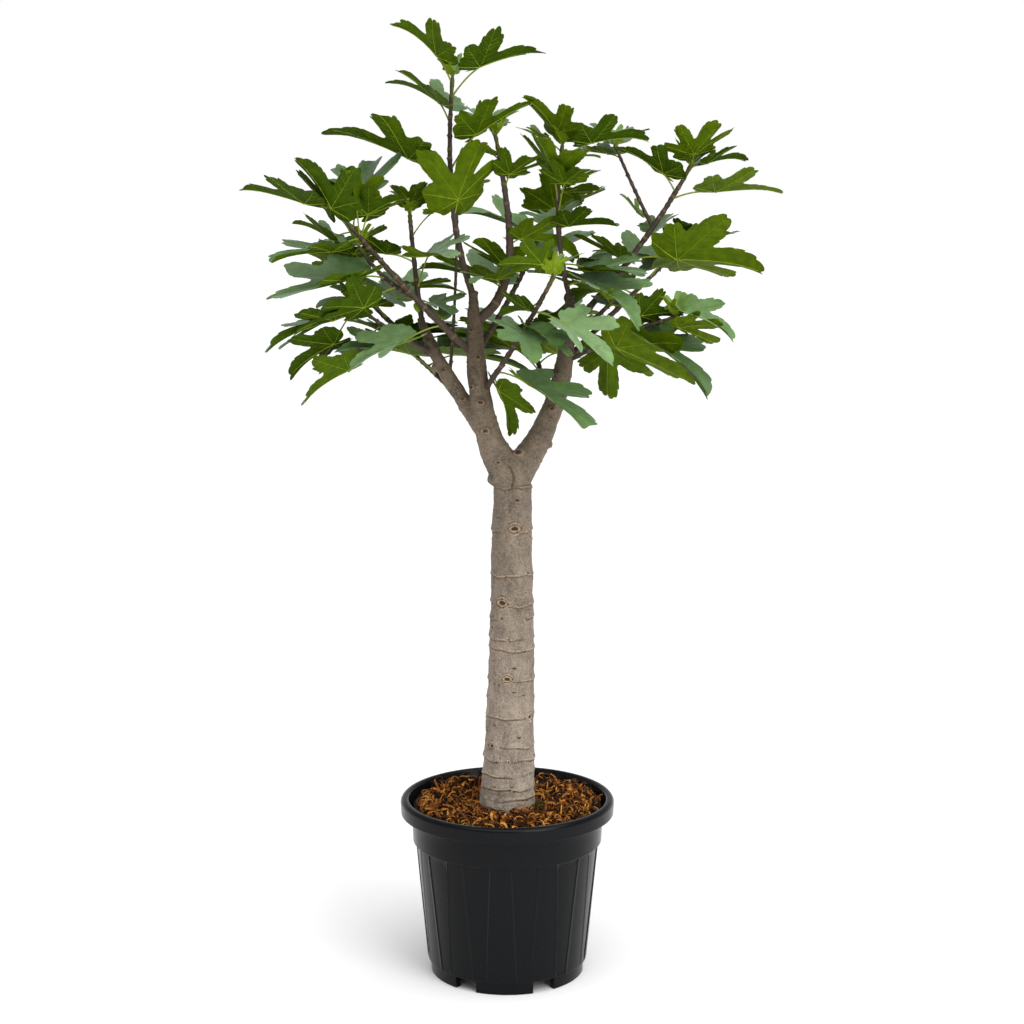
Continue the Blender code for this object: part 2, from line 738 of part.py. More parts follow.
def place_leaf(name, leaf, axis, space):
    """The leaf as it fits, turned a little if it must be, or None. It may cross leaves of its own mass only
    where no small turn avoids that."""
    tries = nudges()
    small = tries[: len(tries) // 3]
    for friends, group in ((set(), small), ({name}, small), (set(), tries), ({name}, tries)):
        for size, turn, climb in group:
            tried = leaf._replace(heading=leaf.heading + turn, rise=leaf.rise + climb, blade=leaf.blade * size)
            if fits(name, tried, axis, space, friends):
                line = stalk_line(tried, axis)
                space.add(blade_solid(tried, line[-1], BLADE_THICKNESS), name)
                space.add(stalk_solid(tried, line), name)
                return tried
    return None


def place_leaves(axes):
    """{shoot: leaves}, the shoots taken in turn, with every limb and stem placed before them."""
    space = Space()
    for name, axis in axes.items():
        space.add(tube(*axis.stretch(0, 1), sides_of(name)), stem_of(name))
    space.add(tube([trunk_point(0), trunk_point(FORK_HEIGHT)], [TRUNK_RADII[0]] * 2, TRUNK_SIDES), "trunk")
    placed = {}
    for name in SHOOTS:
        tried = [place_leaf(name, leaf, axes[name], space) for leaf in leaf_rows(name)]
        placed[name] = [leaf for leaf in tried if leaf]
        print(name, len(placed[name]), "of", len(tried))
    return placed


def make_foliage(axes):
    """One mass for each shoot: its stem with the stalks and blades fused on."""
    for name, leaves in place_leaves(axes).items():
        mass = object_of(shape_of(*stem_solid(name, axes)), name + "_foliage", "leaf")
        if name not in BARE_SHARES:
            cut(mass, [sleeve(axes[SHOOTS[name].parent], BOUGH_SIDES)])
        pieces = parts_collection(name + "_leaves")
        for leaf in leaves:
            line = stalk_line(leaf, axes[name])
            object_of(shape_of(*stalk_solid(leaf, line)), "stalk", None, pieces)
            object_of(shape_of(*blade_solid(leaf, line[-1], BLADE_THICKNESS)), "blade", None, pieces)
        fuse(mass, pieces)


def smooth(names):
    for name in names:
        mesh = bpy.data.objects[name].data
        mesh.shade_smooth()
        mesh.set_sharp_from_angle(angle=math.radians(35))


def main():
    clear_scene()
    axes = grow_axes()
    make_pot()
    make_soil()
    make_trunk(axes)
    make_boughs(axes)
    make_bare_limbs(axes)
    make_foliage(axes)
    smooth(["pot", "trunk", *BOUGHS])


if __name__ == "__main__":
    main()
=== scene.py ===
import json
import math
import random
from collections import namedtuple

import bmesh
import bpy
import numpy as np
from mathutils import Euler, Matrix, Vector, noise
from mathutils.bvhtree import BVHTree

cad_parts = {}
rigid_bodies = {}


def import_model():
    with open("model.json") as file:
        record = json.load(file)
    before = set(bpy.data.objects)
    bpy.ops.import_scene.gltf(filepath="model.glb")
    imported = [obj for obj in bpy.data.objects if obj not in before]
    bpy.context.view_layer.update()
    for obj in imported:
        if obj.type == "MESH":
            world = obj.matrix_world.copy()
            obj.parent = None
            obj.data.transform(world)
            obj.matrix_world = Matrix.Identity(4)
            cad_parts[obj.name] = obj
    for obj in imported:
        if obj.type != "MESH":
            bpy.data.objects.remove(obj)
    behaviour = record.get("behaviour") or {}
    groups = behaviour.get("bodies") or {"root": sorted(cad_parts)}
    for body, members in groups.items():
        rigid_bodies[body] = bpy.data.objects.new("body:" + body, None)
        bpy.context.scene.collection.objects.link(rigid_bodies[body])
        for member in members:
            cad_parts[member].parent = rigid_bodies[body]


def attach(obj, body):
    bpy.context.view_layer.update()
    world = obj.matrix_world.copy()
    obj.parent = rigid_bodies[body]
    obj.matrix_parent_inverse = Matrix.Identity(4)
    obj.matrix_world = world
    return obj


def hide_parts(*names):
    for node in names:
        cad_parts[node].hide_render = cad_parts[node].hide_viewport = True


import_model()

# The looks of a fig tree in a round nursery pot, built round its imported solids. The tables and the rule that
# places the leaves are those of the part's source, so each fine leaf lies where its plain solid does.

GAP = 0.0003
SEED = 7

# The pot, as radii about its axis and heights above the ground
FOOT_RADIUS = 0.1445
FOOT_WIDTH = 0.012
FOOT_HEIGHT = 0.024
PAD_RADIUS = 0.055
BODY_FOOT_RADIUS = 0.150
BODY_TOP_RADIUS = 0.1715
COLLAR_BOTTOM = 0.2525
COLLAR_RADIUS = 0.177
COLLAR_TOP_RADIUS = 0.179
LIP_BOTTOM = 0.3070
LIP_TOP = 0.3345
LIP_RADIUS = 0.200
MOUTH_RADIUS = 0.184
POT_WALL = 0.006
FLOOR_THICKNESS = 0.004
FLUTES = 12
FLUTE_DEPTH = 0.0024
FLUTE_TURN = 11.0
FLUTE_TOP_WIDTH = 18.0
FLUTE_FOOT_WIDTH = 9.5
NOTCHES = 6
NOTCH_WIDTH = 0.044
NOTCH_TURN = 58.0
NOTCH_GAP = 0.003

# The substrate, and the trunk that rises from its surface
SOIL_EDGE = 0.323
SOIL_MIDDLE = 0.317
GROUND = SOIL_MIDDLE + GAP
TRUNK_SIDES = 12
TRUNK_HEIGHTS = (0.000, 0.020, 0.050, 0.130, 0.280, 0.395, 0.490, 0.580, 0.640)
TRUNK_RADII = (0.0530, 0.0500, 0.0485, 0.0450, 0.0420, 0.0388, 0.0376, 0.0350, 0.0330)
TRUNK_DRIFT = (0.000, 0.001, 0.002, 0.004, 0.008, 0.009, 0.008, 0.010, 0.008)
FORK_HEIGHT = 0.622

# Limbs: parent, share of the parent's length where it leaves, heading, rise at the start and at the end,
# how early it bends, length, and its radii at the start and at the end
Limb = namedtuple("Limb", "parent share heading rise end_rise bend length radius end_radius")
BOUGHS = {
    "bough_centre": Limb("trunk", 1.0, 180, 49, 88, 3.0, 0.352, 0.0272, 0.0118),
    "bough_right": Limb("trunk", 1.0, 4, 47, 88, 1.6, 0.358, 0.0258, 0.0104),
    "bough_left": Limb("bough_centre", 0.26, 163, 48, 70, 0.8, 0.246, 0.0168, 0.0090),
}
SHOOTS = {
    "leader": Limb("bough_centre", 0.97, 180, 70, 94, 1.6, 0.396, 0.0065, 0.0030),
    "second_leader": Limb("bough_centre", 0.83, 12, 28, 100, 3.2, 0.362, 0.0095, 0.0030),
    "back_shoot": Limb("bough_left", 0.50, 60, 80, 90, 1.0, 0.335, 0.0030, 0.0022),
    "left_upright": Limb("bough_left", 0.96, 180, 82, 86, 1.0, 0.200, 0.0050, 0.0036),
    "left_outer": Limb("bough_centre", 0.66, 200, 42, 50, 1.0, 0.362, 0.0070, 0.0032),
    "left_inner": Limb("left_outer", 0.44, 170, 24, 60, 1.0, 0.140, 0.0045, 0.0027),
    "low_left": Limb("bough_left", 0.70, 200, 26, 38, 1.0, 0.190, 0.0040, 0.0027),
    "right_outer": Limb("bough_right", 0.82, 14, 44, 60, 1.0, 0.376, 0.0064, 0.0034),
    "right_twig": Limb("right_outer", 0.64, 150, 60, 64, 1.0, 0.164, 0.0036, 0.0024),
    "right_short": Limb("bough_right", 0.76, 320, 32, 42, 1.0, 0.122, 0.0046, 0.0034),
    "right_low": Limb("bough_right", 0.65, 336, 28, 18, 1.0, 0.232, 0.0042, 0.0026),
    "right_upright": Limb("bough_right", 0.96, 180, 75, 99, 1.0, 0.285, 0.0048, 0.0030),
    "front_shoot": Limb("bough_centre", 0.46, 312, 44, 54, 1.0, 0.300, 0.0052, 0.0034),
    "rear_left": Limb("bough_left", 0.66, 142, 24, 46, 1.0, 0.320, 0.0055, 0.0030),
    "rear_centre": Limb("bough_centre", 0.68, 60, 34, 50, 1.0, 0.355, 0.0060, 0.0030),
    "rear_right": Limb("bough_right", 0.66, 47, 31, 29, 1.0, 0.385, 0.0058, 0.0030),
    "rear_low": Limb("bough_right", 0.40, 98, 24, 22, 1.0, 0.300, 0.0052, 0.0030),
    "rear_far_left": Limb("bough_left", 0.24, 120, 23, 16, 1.0, 0.300, 0.0050, 0.0028),
}
# The share of each shoot that is a bare limb, which ends between two corners of its axis. Shoots that
# aren't named here carry on from a bough's tip.
BARE_SHARES = {
    "second_leader": 0.20,
    "back_shoot": 0.45,
    "left_outer": 0.14,
    "left_inner": 0.22,
    "low_left": 0.28,
    "right_outer": 0.28,
    "right_twig": 0.08,
    "right_short": 0.60,
    "right_low": 0.29,
    "front_shoot": 0.14,
    "rear_left": 0.40,
    "rear_centre": 0.40,
    "rear_right": 0.40,
    "rear_low": 0.40,
    "rear_far_left": 0.40,
}
BOUGH_SIDES = 10
SHOOT_SIDES = 5
BOUGH_STEPS = 9
SHOOT_STEPS = 6

# Leaves: share of the shoot, heading, rise and length of the stalk, rise and length of the blade, and roll,
# which lifts the edge nearer the front. Lengths are in millimetres, angles in degrees.
Leaf = namedtuple("Leaf", "share heading stalk_rise stalk rise blade roll")
LEAVES = {
    "leader": (
        (0.96, 195, 60, 55, 40, 100, 5),
        (0.90, 345, 45, 75, 13, 118, 8),
        (0.78, 155, 62, 42, 25, 112, 8),
        (0.58, 342, 52, 80, 24, 115, 12),
        (0.50, 192, 34, 92, 18, 152, 8),
        (0.37, 272, 65, 35, 50, 132, 0),
    ),
    "second_leader": (
        (0.93, 140, 40, 66, 14, 80, 5),
        (0.86, 150, 40, 20, 15, 55, 12),
        (0.72, 305, 60, 32, 25, 80, 15),
        (0.44, 20, 34, 25, -10, 105, 20),
        (0.23, 222, 40, 25, 3, 80, 8),
    ),
    "back_shoot": (
        (0.97, 10, 40, 20, 20, 50, 0),
        (0.90, 110, 40, 30, 10, 80, 0),
    ),
    "left_upright": (
        (0.98, 288, 62, 24, 30, 75, 5),
        (0.78, 330, 48, 58, 12, 45, 0),
        (0.55, 185, 18, 52, 0, 85, 12),
        (0.31, 340, 55, 75, 8, 105, -15),
        (0.20, 160, 5, 45, 18, 95, -15),
        (0.10, 300, 30, 35, -20, 65, -10),
    ),
    "left_outer": (
        (0.99, 185, 17, 66, 11, 116, 8),
        (0.97, 228, 30, 34, 50, 120, 0),
        (0.85, 262, 65, 60, 48, 90, 10),
        (0.84, 325, 68, 45, 22, 90, 18),
        (0.90, 75, 60, 75, 32, 105, 0),
        (0.88, 160, -15, 50, 25, 76, 12),
        (0.84, 205, -22, 60, -8, 118, 0),
        (0.25, 120, 35, 20, 40, 50, 0),
        (0.24, 205, -20, 80, -22, 112, -8),
    ),
    "left_inner": (
        (0.95, 110, -20, 30, -30, 75, 20),
        (0.45, 203, 0, 62, -20, 160, -5),
        (0.27, 210, -25, 80, 20, 90, 45),
    ),
    "low_left": (
        (0.97, 205, -40, 45, -20, 135, 12),
        (0.94, 172, -28, 40, -35, 115, -5),
        (0.92, 165, -57, 80, -24, 98, 30),
        (0.55, 215, -72, 38, 15, 97, -15),
        (0.62, 155, -48, 75, -28, 88, -15),
        (0.35, 198, -27, 118, -30, 104, 30),
    ),
    "right_outer": (
        (0.99, 300, 65, 22, 32, 95, 5),
        (0.97, 20, 16, 36, 10, 78, 12),
        (0.84, 198, 55, 42, 28, 98, 8),
        (0.80, 352, 10, 80, -2, 124, 6),
        (0.59, 30, 28, 26, 8, 60, 0),
        (0.44, 345, 2, 90, -7, 158, 35),
        (0.43, 165, 30, 15, 18, 98, 15),
    ),
    "right_twig": (
        (0.13, 165, 20, 20, 40, 50, 10),
        (0.97, 80, 30, 25, 10, 90, 0),
        (0.85, 150, 20, 25, 0, 80, 0),
    ),
    "right_upright": (
        (0.97, 220, 65, 28, 34, 100, 0),
        (0.94, 145, 36, 40, 18, 52, 0),
        (0.90, 10, 5, 26, 3, 50, 0),
        (0.88, 345, 30, 66, 5, 108, 8),
        (0.61, 205, 72, 60, 28, 106, -18),
        (0.65, 60, 30, 26, -20, 60, -8),
        (0.55, 300, 70, 60, 16, 82, 12),
        (0.47, 120, 20, 20, 30, 90, -10),
        (0.46, 342, 18, 20, 16, 93, 14),
        (0.24, 330, -10, 60, -5, 108, -8),
        (0.10, 325, 8, 58, -26, 130, 0),
    ),
    "front_shoot": (
        (0.98, 196, 50, 30, 0, 82, 38),
        (0.96, 65, 60, 30, 6, 66, 0),
        (0.80, 130, -30, 34, -6, 78, 28),
        (0.72, 335, -19, 65, -38, 105, -18),
        (0.55, 325, 8, 30, -32, 84, 5),
        (0.53, 280, 10, 38, -30, 98, 5),
        (0.22, 333, -17, 66, -36, 140, 5),
        (0.18, 55, -60, 30, -62, 96, -20),
    ),
    "right_short": (
        (0.97, 358, -20, 60, 4, 78, 45),
        (0.80, 70, 20, 30, 10, 90, 0),
    ),
    "right_low": (
        (0.98, 5, 25, 22, -8, 94, -18),
        (0.97, 30, -60, 20, -28, 94, 15),
        (0.60, 336, -25, 42, -37, 138, -8),
        (0.44, 15, -60, 16, -39, 148, 30),
        (0.40, 100, -50, 20, -50, 100, 0),
    ),
}
# Shoots at the back carry leaves by the rule of the species: one after another, turned by the golden angle.
REAR_SHOOTS = {"rear_left": 32, "rear_centre": 65, "rear_right": 15, "rear_low": 45, "rear_far_left": 72}
REAR_LEAVES = 5
GOLDEN_ANGLE = 137.5

# The plain solid of a blade, which keeps the leaf's room: five lobes as angle from the midrib and radius, in
# blade lengths, about the end of its stalk
LOBES = ((0, 1.00), (12, 0.90), (22, 0.53), (43, 0.79), (64, 0.46), (92, 0.50), (135, 0.35))
NOTCH_RADIUS = 0.07
FAN_CENTRE = 0.25
FOLD = 0.34
ARCH = 0.16
BLADE_THICKNESS = 0.0024
BLADE_CLEARANCE = 0.0010
STALK_RADIUS = 0.0018
STALK_BOW = 0.07
STALK_IN_BLADE = 0.006
# A crowded leaf tries these turns of heading and rise, then again smaller, before it is left out.
TURNS = (0, 9, -9, 18, -18, 28, -28, 40, -40)
CLIMBS = (0, 8, -8, 16, -16)
SIZES = (1.0, 0.86)
SIZE_COST = 150

# The finer pot: the bead along each flute, the share of a flute's depth that is left, the degrees from its
# edge to the plain wall, rounded edges, and where up the wall its rings lie
FLUTE_BEAD = 0.0005
FLUTE_SHOWN = 0.60
FLUTE_EDGE = 0.7
FOOT_ROUND = 0.0012
COLLAR_ROUND = 0.0018
LIP_OUTER_ROUND = 0.0080
LIP_INNER_ROUND = 0.0050
WALL_SHARES = (0.012, 0.03, 0.06, 0.2, 0.4, 0.6, 0.8, 0.93, 0.975, 0.99, 0.999)

# The bark mix, and its chips from the trunk to the pot's wall, in layers of count, lift and size
BED_RADIUS = 0.1755
BED_CORE = 0.02
BED_BOTTOM = 0.300
BED_SIDES = 120
BED_RINGS = 26
CHIP_START = 0.044
CHIP_REACH = 0.168
CHIP_WALL = 0.1735
CHIP_STEPS = 10
CHIP_RADIUS = (0.0032, 0.0088)
CHIP_SWEEP = (1.2, 4.4)
CHIP_WIDTH = (0.0014, 0.0040)
CHIP_THICKNESS = (0.0007, 0.0012)
CHIP_SKEW = 0.010
CHIP_LAYERS = ((480, -0.001, 1.65), (560, 0.003, 1.45), (300, 0.006, 1.30))
CHIP_SHARES = {"chip_dark": 0.12, "chip_deep": 0.24, "chip_brown": 0.30, "chip_tan": 0.25, "chip_pale": 0.09}
MOSS_PLACE = (0.058, -0.014)
MOSS_SPREAD = 0.006
MOSS_BLADES = 90

# The bark: size of its mesh, how high and how far out the trunk's own bark goes, and its broad waves as
# height, scale and seed
BARK_GRAIN = 0.0019
TRUNK_BARK = FORK_HEIGHT - 0.012
TRUNK_REACH = 0.07
BARK_WAVES = ((0.0018, 26, 1), (0.0008, 60, 3), (0.0008, 130, 5))
# The look of a face of the bark, as its number among the bark's finishes
PALE = 1
BROWN = 2
DARK = 3
# Painted shade, put in the grooves under the rings, in the crease at the fork and just outside the rims of
# leaf scars
PAINTED_SHADE = 4
# Rings on the trunk as height, tilt, heading of the tilt and strength
RINGS = (
    (0.023, 0.0012, 30, 0.9),
    (0.042, 0.0014, -40, 1.0),
    (0.068, 0.0016, 60, 0.9),
    (0.096, 0.0012, -20, 1.0),
    (0.123, 0.0020, -70, 0.8),
    (0.178, 0.0016, 40, 0.9),
    (0.210, 0.0010, 10, 0.5),
    (0.248, 0.0018, 20, 0.9),
    (0.306, 0.0018, -60, 1.2),
    (0.326, 0.0012, 10, 1.0),
    (0.364, 0.0014, 80, 0.7),
    (0.391, 0.0024, -110, 1.0),
    (0.444, 0.0016, 20, 1.3),
    (0.508, 0.0010, -60, 0.5),
    (0.527, 0.0018, 170, 1.0),
    (0.606, 0.0016, 0, 1.4),
)
# How the rings waver, as waves, depth and phase, their relief, and the look of the bands along them as look,
# lowest and highest place over the ring, and the ring's least strength
RING_WAVES = ((3, 0.0013, 2.1), (7, 0.0008, 1.3))
RING_SWELL = 0.0022
RING_SWELL_WIDTH = 0.0090
RING_RIDGE = 0.0012
RING_RIDGE_WIDTH = 0.0022
RING_GROOVE = 0.0013
RING_GROOVE_DROP = 0.0042
RING_BANDS = (
    (PALE, -0.0005, 0.0013, 0.72),
    # Painted shade in the groove under each ring's ridge
    (PAINTED_SHADE, -0.0042, -0.0018, 0.50),
    (BROWN, -0.0034, -0.0018, 0.78),
)
# Leaf scars as height, degrees from the front, half width and half height, the height of their rims and the
# depth of their middles, and their looks from outside in
EYE_RIM = 0.0026
EYE_HOLLOW = 0.0012
# The outermost zone is painted shade just outside the rim, on the scar's upper side only
EYE_ZONES = ((1.40, PAINTED_SHADE), (1.15, PALE), (0.84, BROWN), (0.62, PALE), (0.36, DARK))
EYES = (
    (0.532, 8, 0.0180, 0.0105),
    (0.394, -28, 0.0180, 0.0105),
    (0.253, -10, 0.0150, 0.0090),
    (0.176, 56, 0.0120, 0.0080),
    (0.123, -46, 0.0110, 0.0075),
    (0.480, -34, 0.0040, 0.0030),
    (0.363, 44, 0.0050, 0.0032),
    (0.326, -10, 0.0050, 0.0028),
    (0.096, -2, 0.0060, 0.0030),
    (0.042, 4, 0.0050, 0.0026),
    (0.162, -42, 0.0040, 0.0028),
    (0.450, 150, 0.0130, 0.0080),
    (0.300, 205, 0.0130, 0.0080),
    (0.205, 120, 0.0090, 0.0060),
    (0.090, 170, 0.0090, 0.0055),
    (0.560, -120, 0.0090, 0.0060),
)
# Pores on the trunk
PORES = 110
# Swellings at the fork, as place and radii
LUMPS = (
    ((-0.022, -0.006, 0.937), (0.015, 0.020, 0.012)),
    ((0.012, 0.000, 0.944), (0.030, 0.034, 0.022)),
)
# Knots as bough, share, heading, rise and size
KNOTS = (
    ("bough_centre", 0.10, 262, 5, 0.0080),
    ("bough_centre", 0.27, 262, 10, 0.0110),
    ("bough_centre", 0.42, 268, 10, 0.0105),
    ("bough_centre", 0.50, 235, 10, 0.0090),
    ("bough_centre", 0.66, 280, 5, 0.0080),
    ("bough_centre", 0.80, 250, 5, 0.0070),
    ("bough_centre", 0.36, 60, 10, 0.0100),
    ("bough_centre", 0.62, 120, 10, 0.0090),
    ("bough_right", 0.12, 236, 30, 0.0150),
    ("bough_right", 0.22, 350, -10, 0.0095),
    ("bough_right", 0.40, 268, 15, 0.0090),
    ("bough_right", 0.50, 235, 10, 0.0080),
    ("bough_right", 0.70, 285, 10, 0.0075),
    ("bough_right", 0.45, 90, 15, 0.0090),
    ("bough_left", 0.30, 262, 20, 0.0080),
    ("bough_left", 0.55, 255, 25, 0.0075),
    ("bough_left", 0.80, 268, 15, 0.0060),
)
# The rim and the hollow of a knot, how flat it is, and its looks from outside in
KNOT_RIM = 0.0008
KNOT_HOLLOW = 0.0020
KNOT_FLAT = 1.5
KNOT_ZONES = ((0.74, PALE), (0.48, BROWN), (0.22, DARK))
# Flare of a bough where it leaves the trunk or another bough, the radius at its end, where a shoot goes on,
# the share of its length from which it is drawn in to that, and the faint rings across it
TRUNK_FLARE = 0.0075
BOUGH_FLARE = 0.0040
FLARE_SHARE = 0.16
BOUGH_ENDS = {"bough_centre": 0.0082, "bough_right": 0.0064, "bough_left": 0.0064}
BOUGH_DRAWN = 0.78
BOUGH_RING = 0.0010
BOUGH_RING_WIDTH = 0.0026
# Pruned stubs as bough, share, heading, rise, length and radius
STUBS = (
    ("bough_left", 0.58, 185, 8, 0.017, 0.0058),
    ("bough_centre", 0.62, 300, 48, 0.020, 0.0028),
    ("bough_right", 0.40, 20, 40, 0.014, 0.0046),
)
# Where the two boughs part, as x and z, and the ridge and the crease of bark there
CROTCH = (0.012, 0.965)
FOLD_RIDGE = 0.0026
FOLD_CREASE = 0.0018

# Shoots: corners round them, the swelling at each leaf joint, half the width of a leaf scar, the share of the
# length from which the wood is young, and the bud at the tip
SHOOT_ROUND = 10
JOINT_SWELL = 0.0011
JOINT_WIDTH = 0.0030
JOINT_MOST = 0.0014
SCAR_HALF = 0.0016
YOUNG_SHARE = 0.90
TIP_BUD = 0.0115

# Finer leaves: the millimetres under which a blade is a young one, the disc under the lobes, and the lobes as
# width, or as angles, lengths and width, in blade lengths and degrees from the midrib
YOUNG_BLADE = 60
BODY_SIZES = (0.36, 0.47)
MIDDLE_LOBE = 0.192
SIDE_LOBES = (((43, 50), (0.74, 0.88), 0.158), ((88, 102), (0.46, 0.60), 0.120))
EAR_ANGLE = 140
EAR_LENGTHS = (0.27, 0.35)
EAR_WIDTH = 0.10
# Points round the edge, its teeth and waves, the shape of a lobe, rings from the foot to the edge, thickness,
# veins and stalk
EDGE_POINTS = 200
TOOTH = (-0.036, 0.0, 0.014, 0.016, 0.004)
EDGE_WAVES = ((9, 0.040), (17, 0.028))
LOBE_BELLY = 0.70
LOBE_NECK = 0.68
INNER_RINGS = (0.14, 0.36, 0.57, 0.75)
OUTER_RINGS = (0.87, 0.95, 1.0)
LEAF_THICK = 0.0009
VEIN = 0.00095
SIDE_VEINS = (0.17, 0.33, 0.49, 0.64, 0.78)
STALK_THICK = 0.00155
# The small fig: its share of the left upright shoot, its length and its radius
FIG_SHARE = 0.07
FIG_LENGTH = 0.022
FIG_RADIUS = 0.0050
# The shoots whose leaves are joined in one piece
LEAF_PIECES = (
    ("leader", "second_leader", "back_shoot", "rear_centre"),
    ("left_upright", "left_inner", "left_outer"),
    ("low_left", "rear_left", "rear_far_left"),
    ("right_upright", "right_outer", "right_twig"),
    ("right_low", "right_short", "front_shoot"),
    ("rear_right", "rear_low"),
)
TINT_SHARES = {"deep": 0.38, "mid": 0.44, "bright": 0.18}

# Finishes: colour, roughness, gloss, spread of the colour, scale of its grain and strength of its relief
PLAIN_FINISHES = {
    "pot_plastic": ((0.0034, 0.0038, 0.0046), 0.22, 0.13, 0.16, 220, 0.05),
    "chip_dark": ((0.012, 0.0045, 0.0015), 0.95, 0.2, 0.35, 260, 0.7),
    "chip_deep": ((0.048, 0.0140, 0.0018), 0.90, 0.2, 0.30, 260, 0.7),
    "chip_brown": ((0.145, 0.0430, 0.0044), 0.80, 0.3, 0.30, 260, 0.7),
    "chip_tan": ((0.330, 0.1120, 0.0115), 0.70, 0.3, 0.28, 260, 0.7),
    "chip_pale": ((0.620, 0.2650, 0.0400), 0.65, 0.3, 0.25, 260, 0.7),
    "moss": ((0.040, 0.068, 0.006), 0.90, 0.2, 0.30, 300, 0.4),
    "shoot_old": ((0.050, 0.033, 0.020), 0.65, 0.35, 0.35, 260, 0.6),
    "shoot_young": ((0.080, 0.075, 0.014), 0.60, 0.3, 0.25, 260, 0.4),
    "shoot_scar": ((0.120, 0.085, 0.050), 0.80, 0.2, 0.30, 260, 0.5),
    "bud": ((0.130, 0.140, 0.018), 0.50, 0.3, 0.25, 260, 0.3),
    "stalk": ((0.200, 0.260, 0.016), 0.45, 0.3, 0.15, 200, 0.2),
    "fig_skin": ((0.150, 0.220, 0.010), 0.45, 0.3, 0.20, 300, 0.3),
    "top_deep": ((0.056, 0.122, 0.022), 0.42, 0.36, 0.20, 70, 0.25),
    "top_mid": ((0.088, 0.178, 0.041), 0.42, 0.36, 0.20, 70, 0.25),
    "top_bright": ((0.140, 0.245, 0.082), 0.45, 0.36, 0.20, 70, 0.25),
    "top_young": ((0.120, 0.220, 0.020), 0.42, 0.35, 0.18, 70, 0.25),
    "under_deep": ((0.036, 0.070, 0.0004), 0.68, 0.08, 0.25, 60, 0.35),
    "under_mid": ((0.054, 0.096, 0.0006), 0.68, 0.08, 0.25, 60, 0.35),
    "under_bright": ((0.078, 0.128, 0.0010), 0.68, 0.08, 0.25, 60, 0.35),
    "under_young": ((0.140, 0.210, 0.004), 0.60, 0.12, 0.20, 60, 0.35),
    "vein_top": ((0.200, 0.300, 0.075), 0.45, 0.3, 0.10, 120, 0.1),
    "side_top": ((0.110, 0.190, 0.035), 0.45, 0.3, 0.10, 120, 0.1),
    "vein_under": ((0.260, 0.340, 0.016), 0.55, 0.15, 0.10, 120, 0.1),
    "side_under": ((0.120, 0.185, 0.004), 0.60, 0.12, 0.10, 120, 0.1),
}
# Barks: colour, spread, roughness, and how far the blotches are drawn out along the stem, less for more
BARK_FINISHES = {
    "bark": ((0.300, 0.246, 0.192), 0.55, 0.62, 0.50),
    "bark_pale": ((0.460, 0.370, 0.270), 0.20, 0.70, 0.8),
    "bark_brown": ((0.190, 0.105, 0.052), 0.30, 0.8, 0.8),
    "bark_pore": ((0.075, 0.040, 0.020), 0.30, 0.85, 0.8),
    # Painted shade, for grooves, creases and beside raised rims
    "bark_painted_shade": ((0.185, 0.140, 0.098), 0.25, 0.78, 0.5),
}
BARK_GLOSS = 0.35
BARK_RELIEF = 0.0036
# The relief of the other finishes, and how much finer it is than their colours
RELIEF_DEPTH = 0.0006
RELIEF_FINER = 6
WHITE = (1, 1, 1)
# The sockets of a node that mixes colours
MIX_FIRST = 6
MIX_SECOND = 7
MIX_RESULT = 2
FINISHES = {}
# Painted shade of the crown, paler low down: heights above the ground, and the share of its colour that is
# left there
BARK_CROWN_SHADE = (
    (0.36, (1.00, 1.00, 1.00)),
    (0.66, (0.76, 0.74, 0.72)),
    (0.94, (0.56, 0.53, 0.48)),
    (1.08, (0.50, 0.46, 0.40)),
    (1.19, (0.28, 0.24, 0.18)),
    (1.27, (0.18, 0.14, 0.10)),
)
# The bloom on the upper side of the leaves: its weight, roughness and tint
BLOOM = (0.45, 0.45, (0.80, 0.96, 0.86, 1))

# The view and the light
CAMERA_TARGET = (0.0088, 0.0, 0.8746)
CAMERA_DISTANCE = 3.762
CAMERA_PITCH = 9.6
CAMERA_LENS = 72.18
SKY_STOPS = ((0.12, 1.0), (0.36, 0.40))
FLOOR_WHITE = 1.0
FLOOR_REACH = 90
OVERHEAD = 2.2
OVERHEAD_SPREAD = 70
OVERHEAD_TURN = (12, 6, 0)
LAMPS = (
    ("key", (2.2, -3.0, 2.6), (0, 0, 1.0), 2.8, 80),
    ("fill", (-2.6, -2.6, 1.0), (0, 0, 0.9), 1.2, 2),
)


def direction(heading, rise):
    """The unit vector of a heading and a rise in degrees."""
    turn = math.radians(heading)
    climb = math.radians(rise)
    return Vector((math.cos(climb) * math.cos(turn), math.cos(climb) * math.sin(turn), math.sin(climb)))


def rings(points, radii, sides):
    """Corner points of a tube's rings, with no twist between one and the next."""
    across = Vector((1, 0, 0))
    found = []
    for i, (point, radius) in enumerate(zip(points, radii)):
        along = points[min(i + 1, len(points) - 1)] - points[max(i - 1, 0)]
        along.normalize()
        across = across - along * across.dot(along)
        if across.length < 0.1:
            across = Vector((0, 1, 0)) - along * along.y
        across.normalize()
        up = along.cross(across)
        turns = [math.tau * k / sides for k in range(sides)]
        found.append([point + radius * (math.cos(a) * across + math.sin(a) * up) for a in turns])
    return found


def tube_faces(count, sides):
    """Faces of a closed tube with that many rings."""
    faces = [tuple(reversed(range(sides))), tuple(range((count - 1) * sides, count * sides))]
    for i in range(count - 1):
        for k in range(sides):
            low = i * sides
            high = low + sides
            after = (k + 1) % sides
            faces.append((low + k, low + after, high + after, high + k))
    return faces


def tube(points, radii, sides):
    """(corners, faces) of a closed tube through the points."""
    corners = [corner for ring in rings(points, radii, sides) for corner in ring]
    return corners, tube_faces(len(points), sides)


def between(value, stops, results):
    """The result at value, on straight lines between the stops."""
    for i in range(len(stops) - 1):
        if value <= stops[i + 1]:
            share = (value - stops[i]) / (stops[i + 1] - stops[i])
            return results[i] + (results[i + 1] - results[i]) * max(share, 0)
    return results[-1]


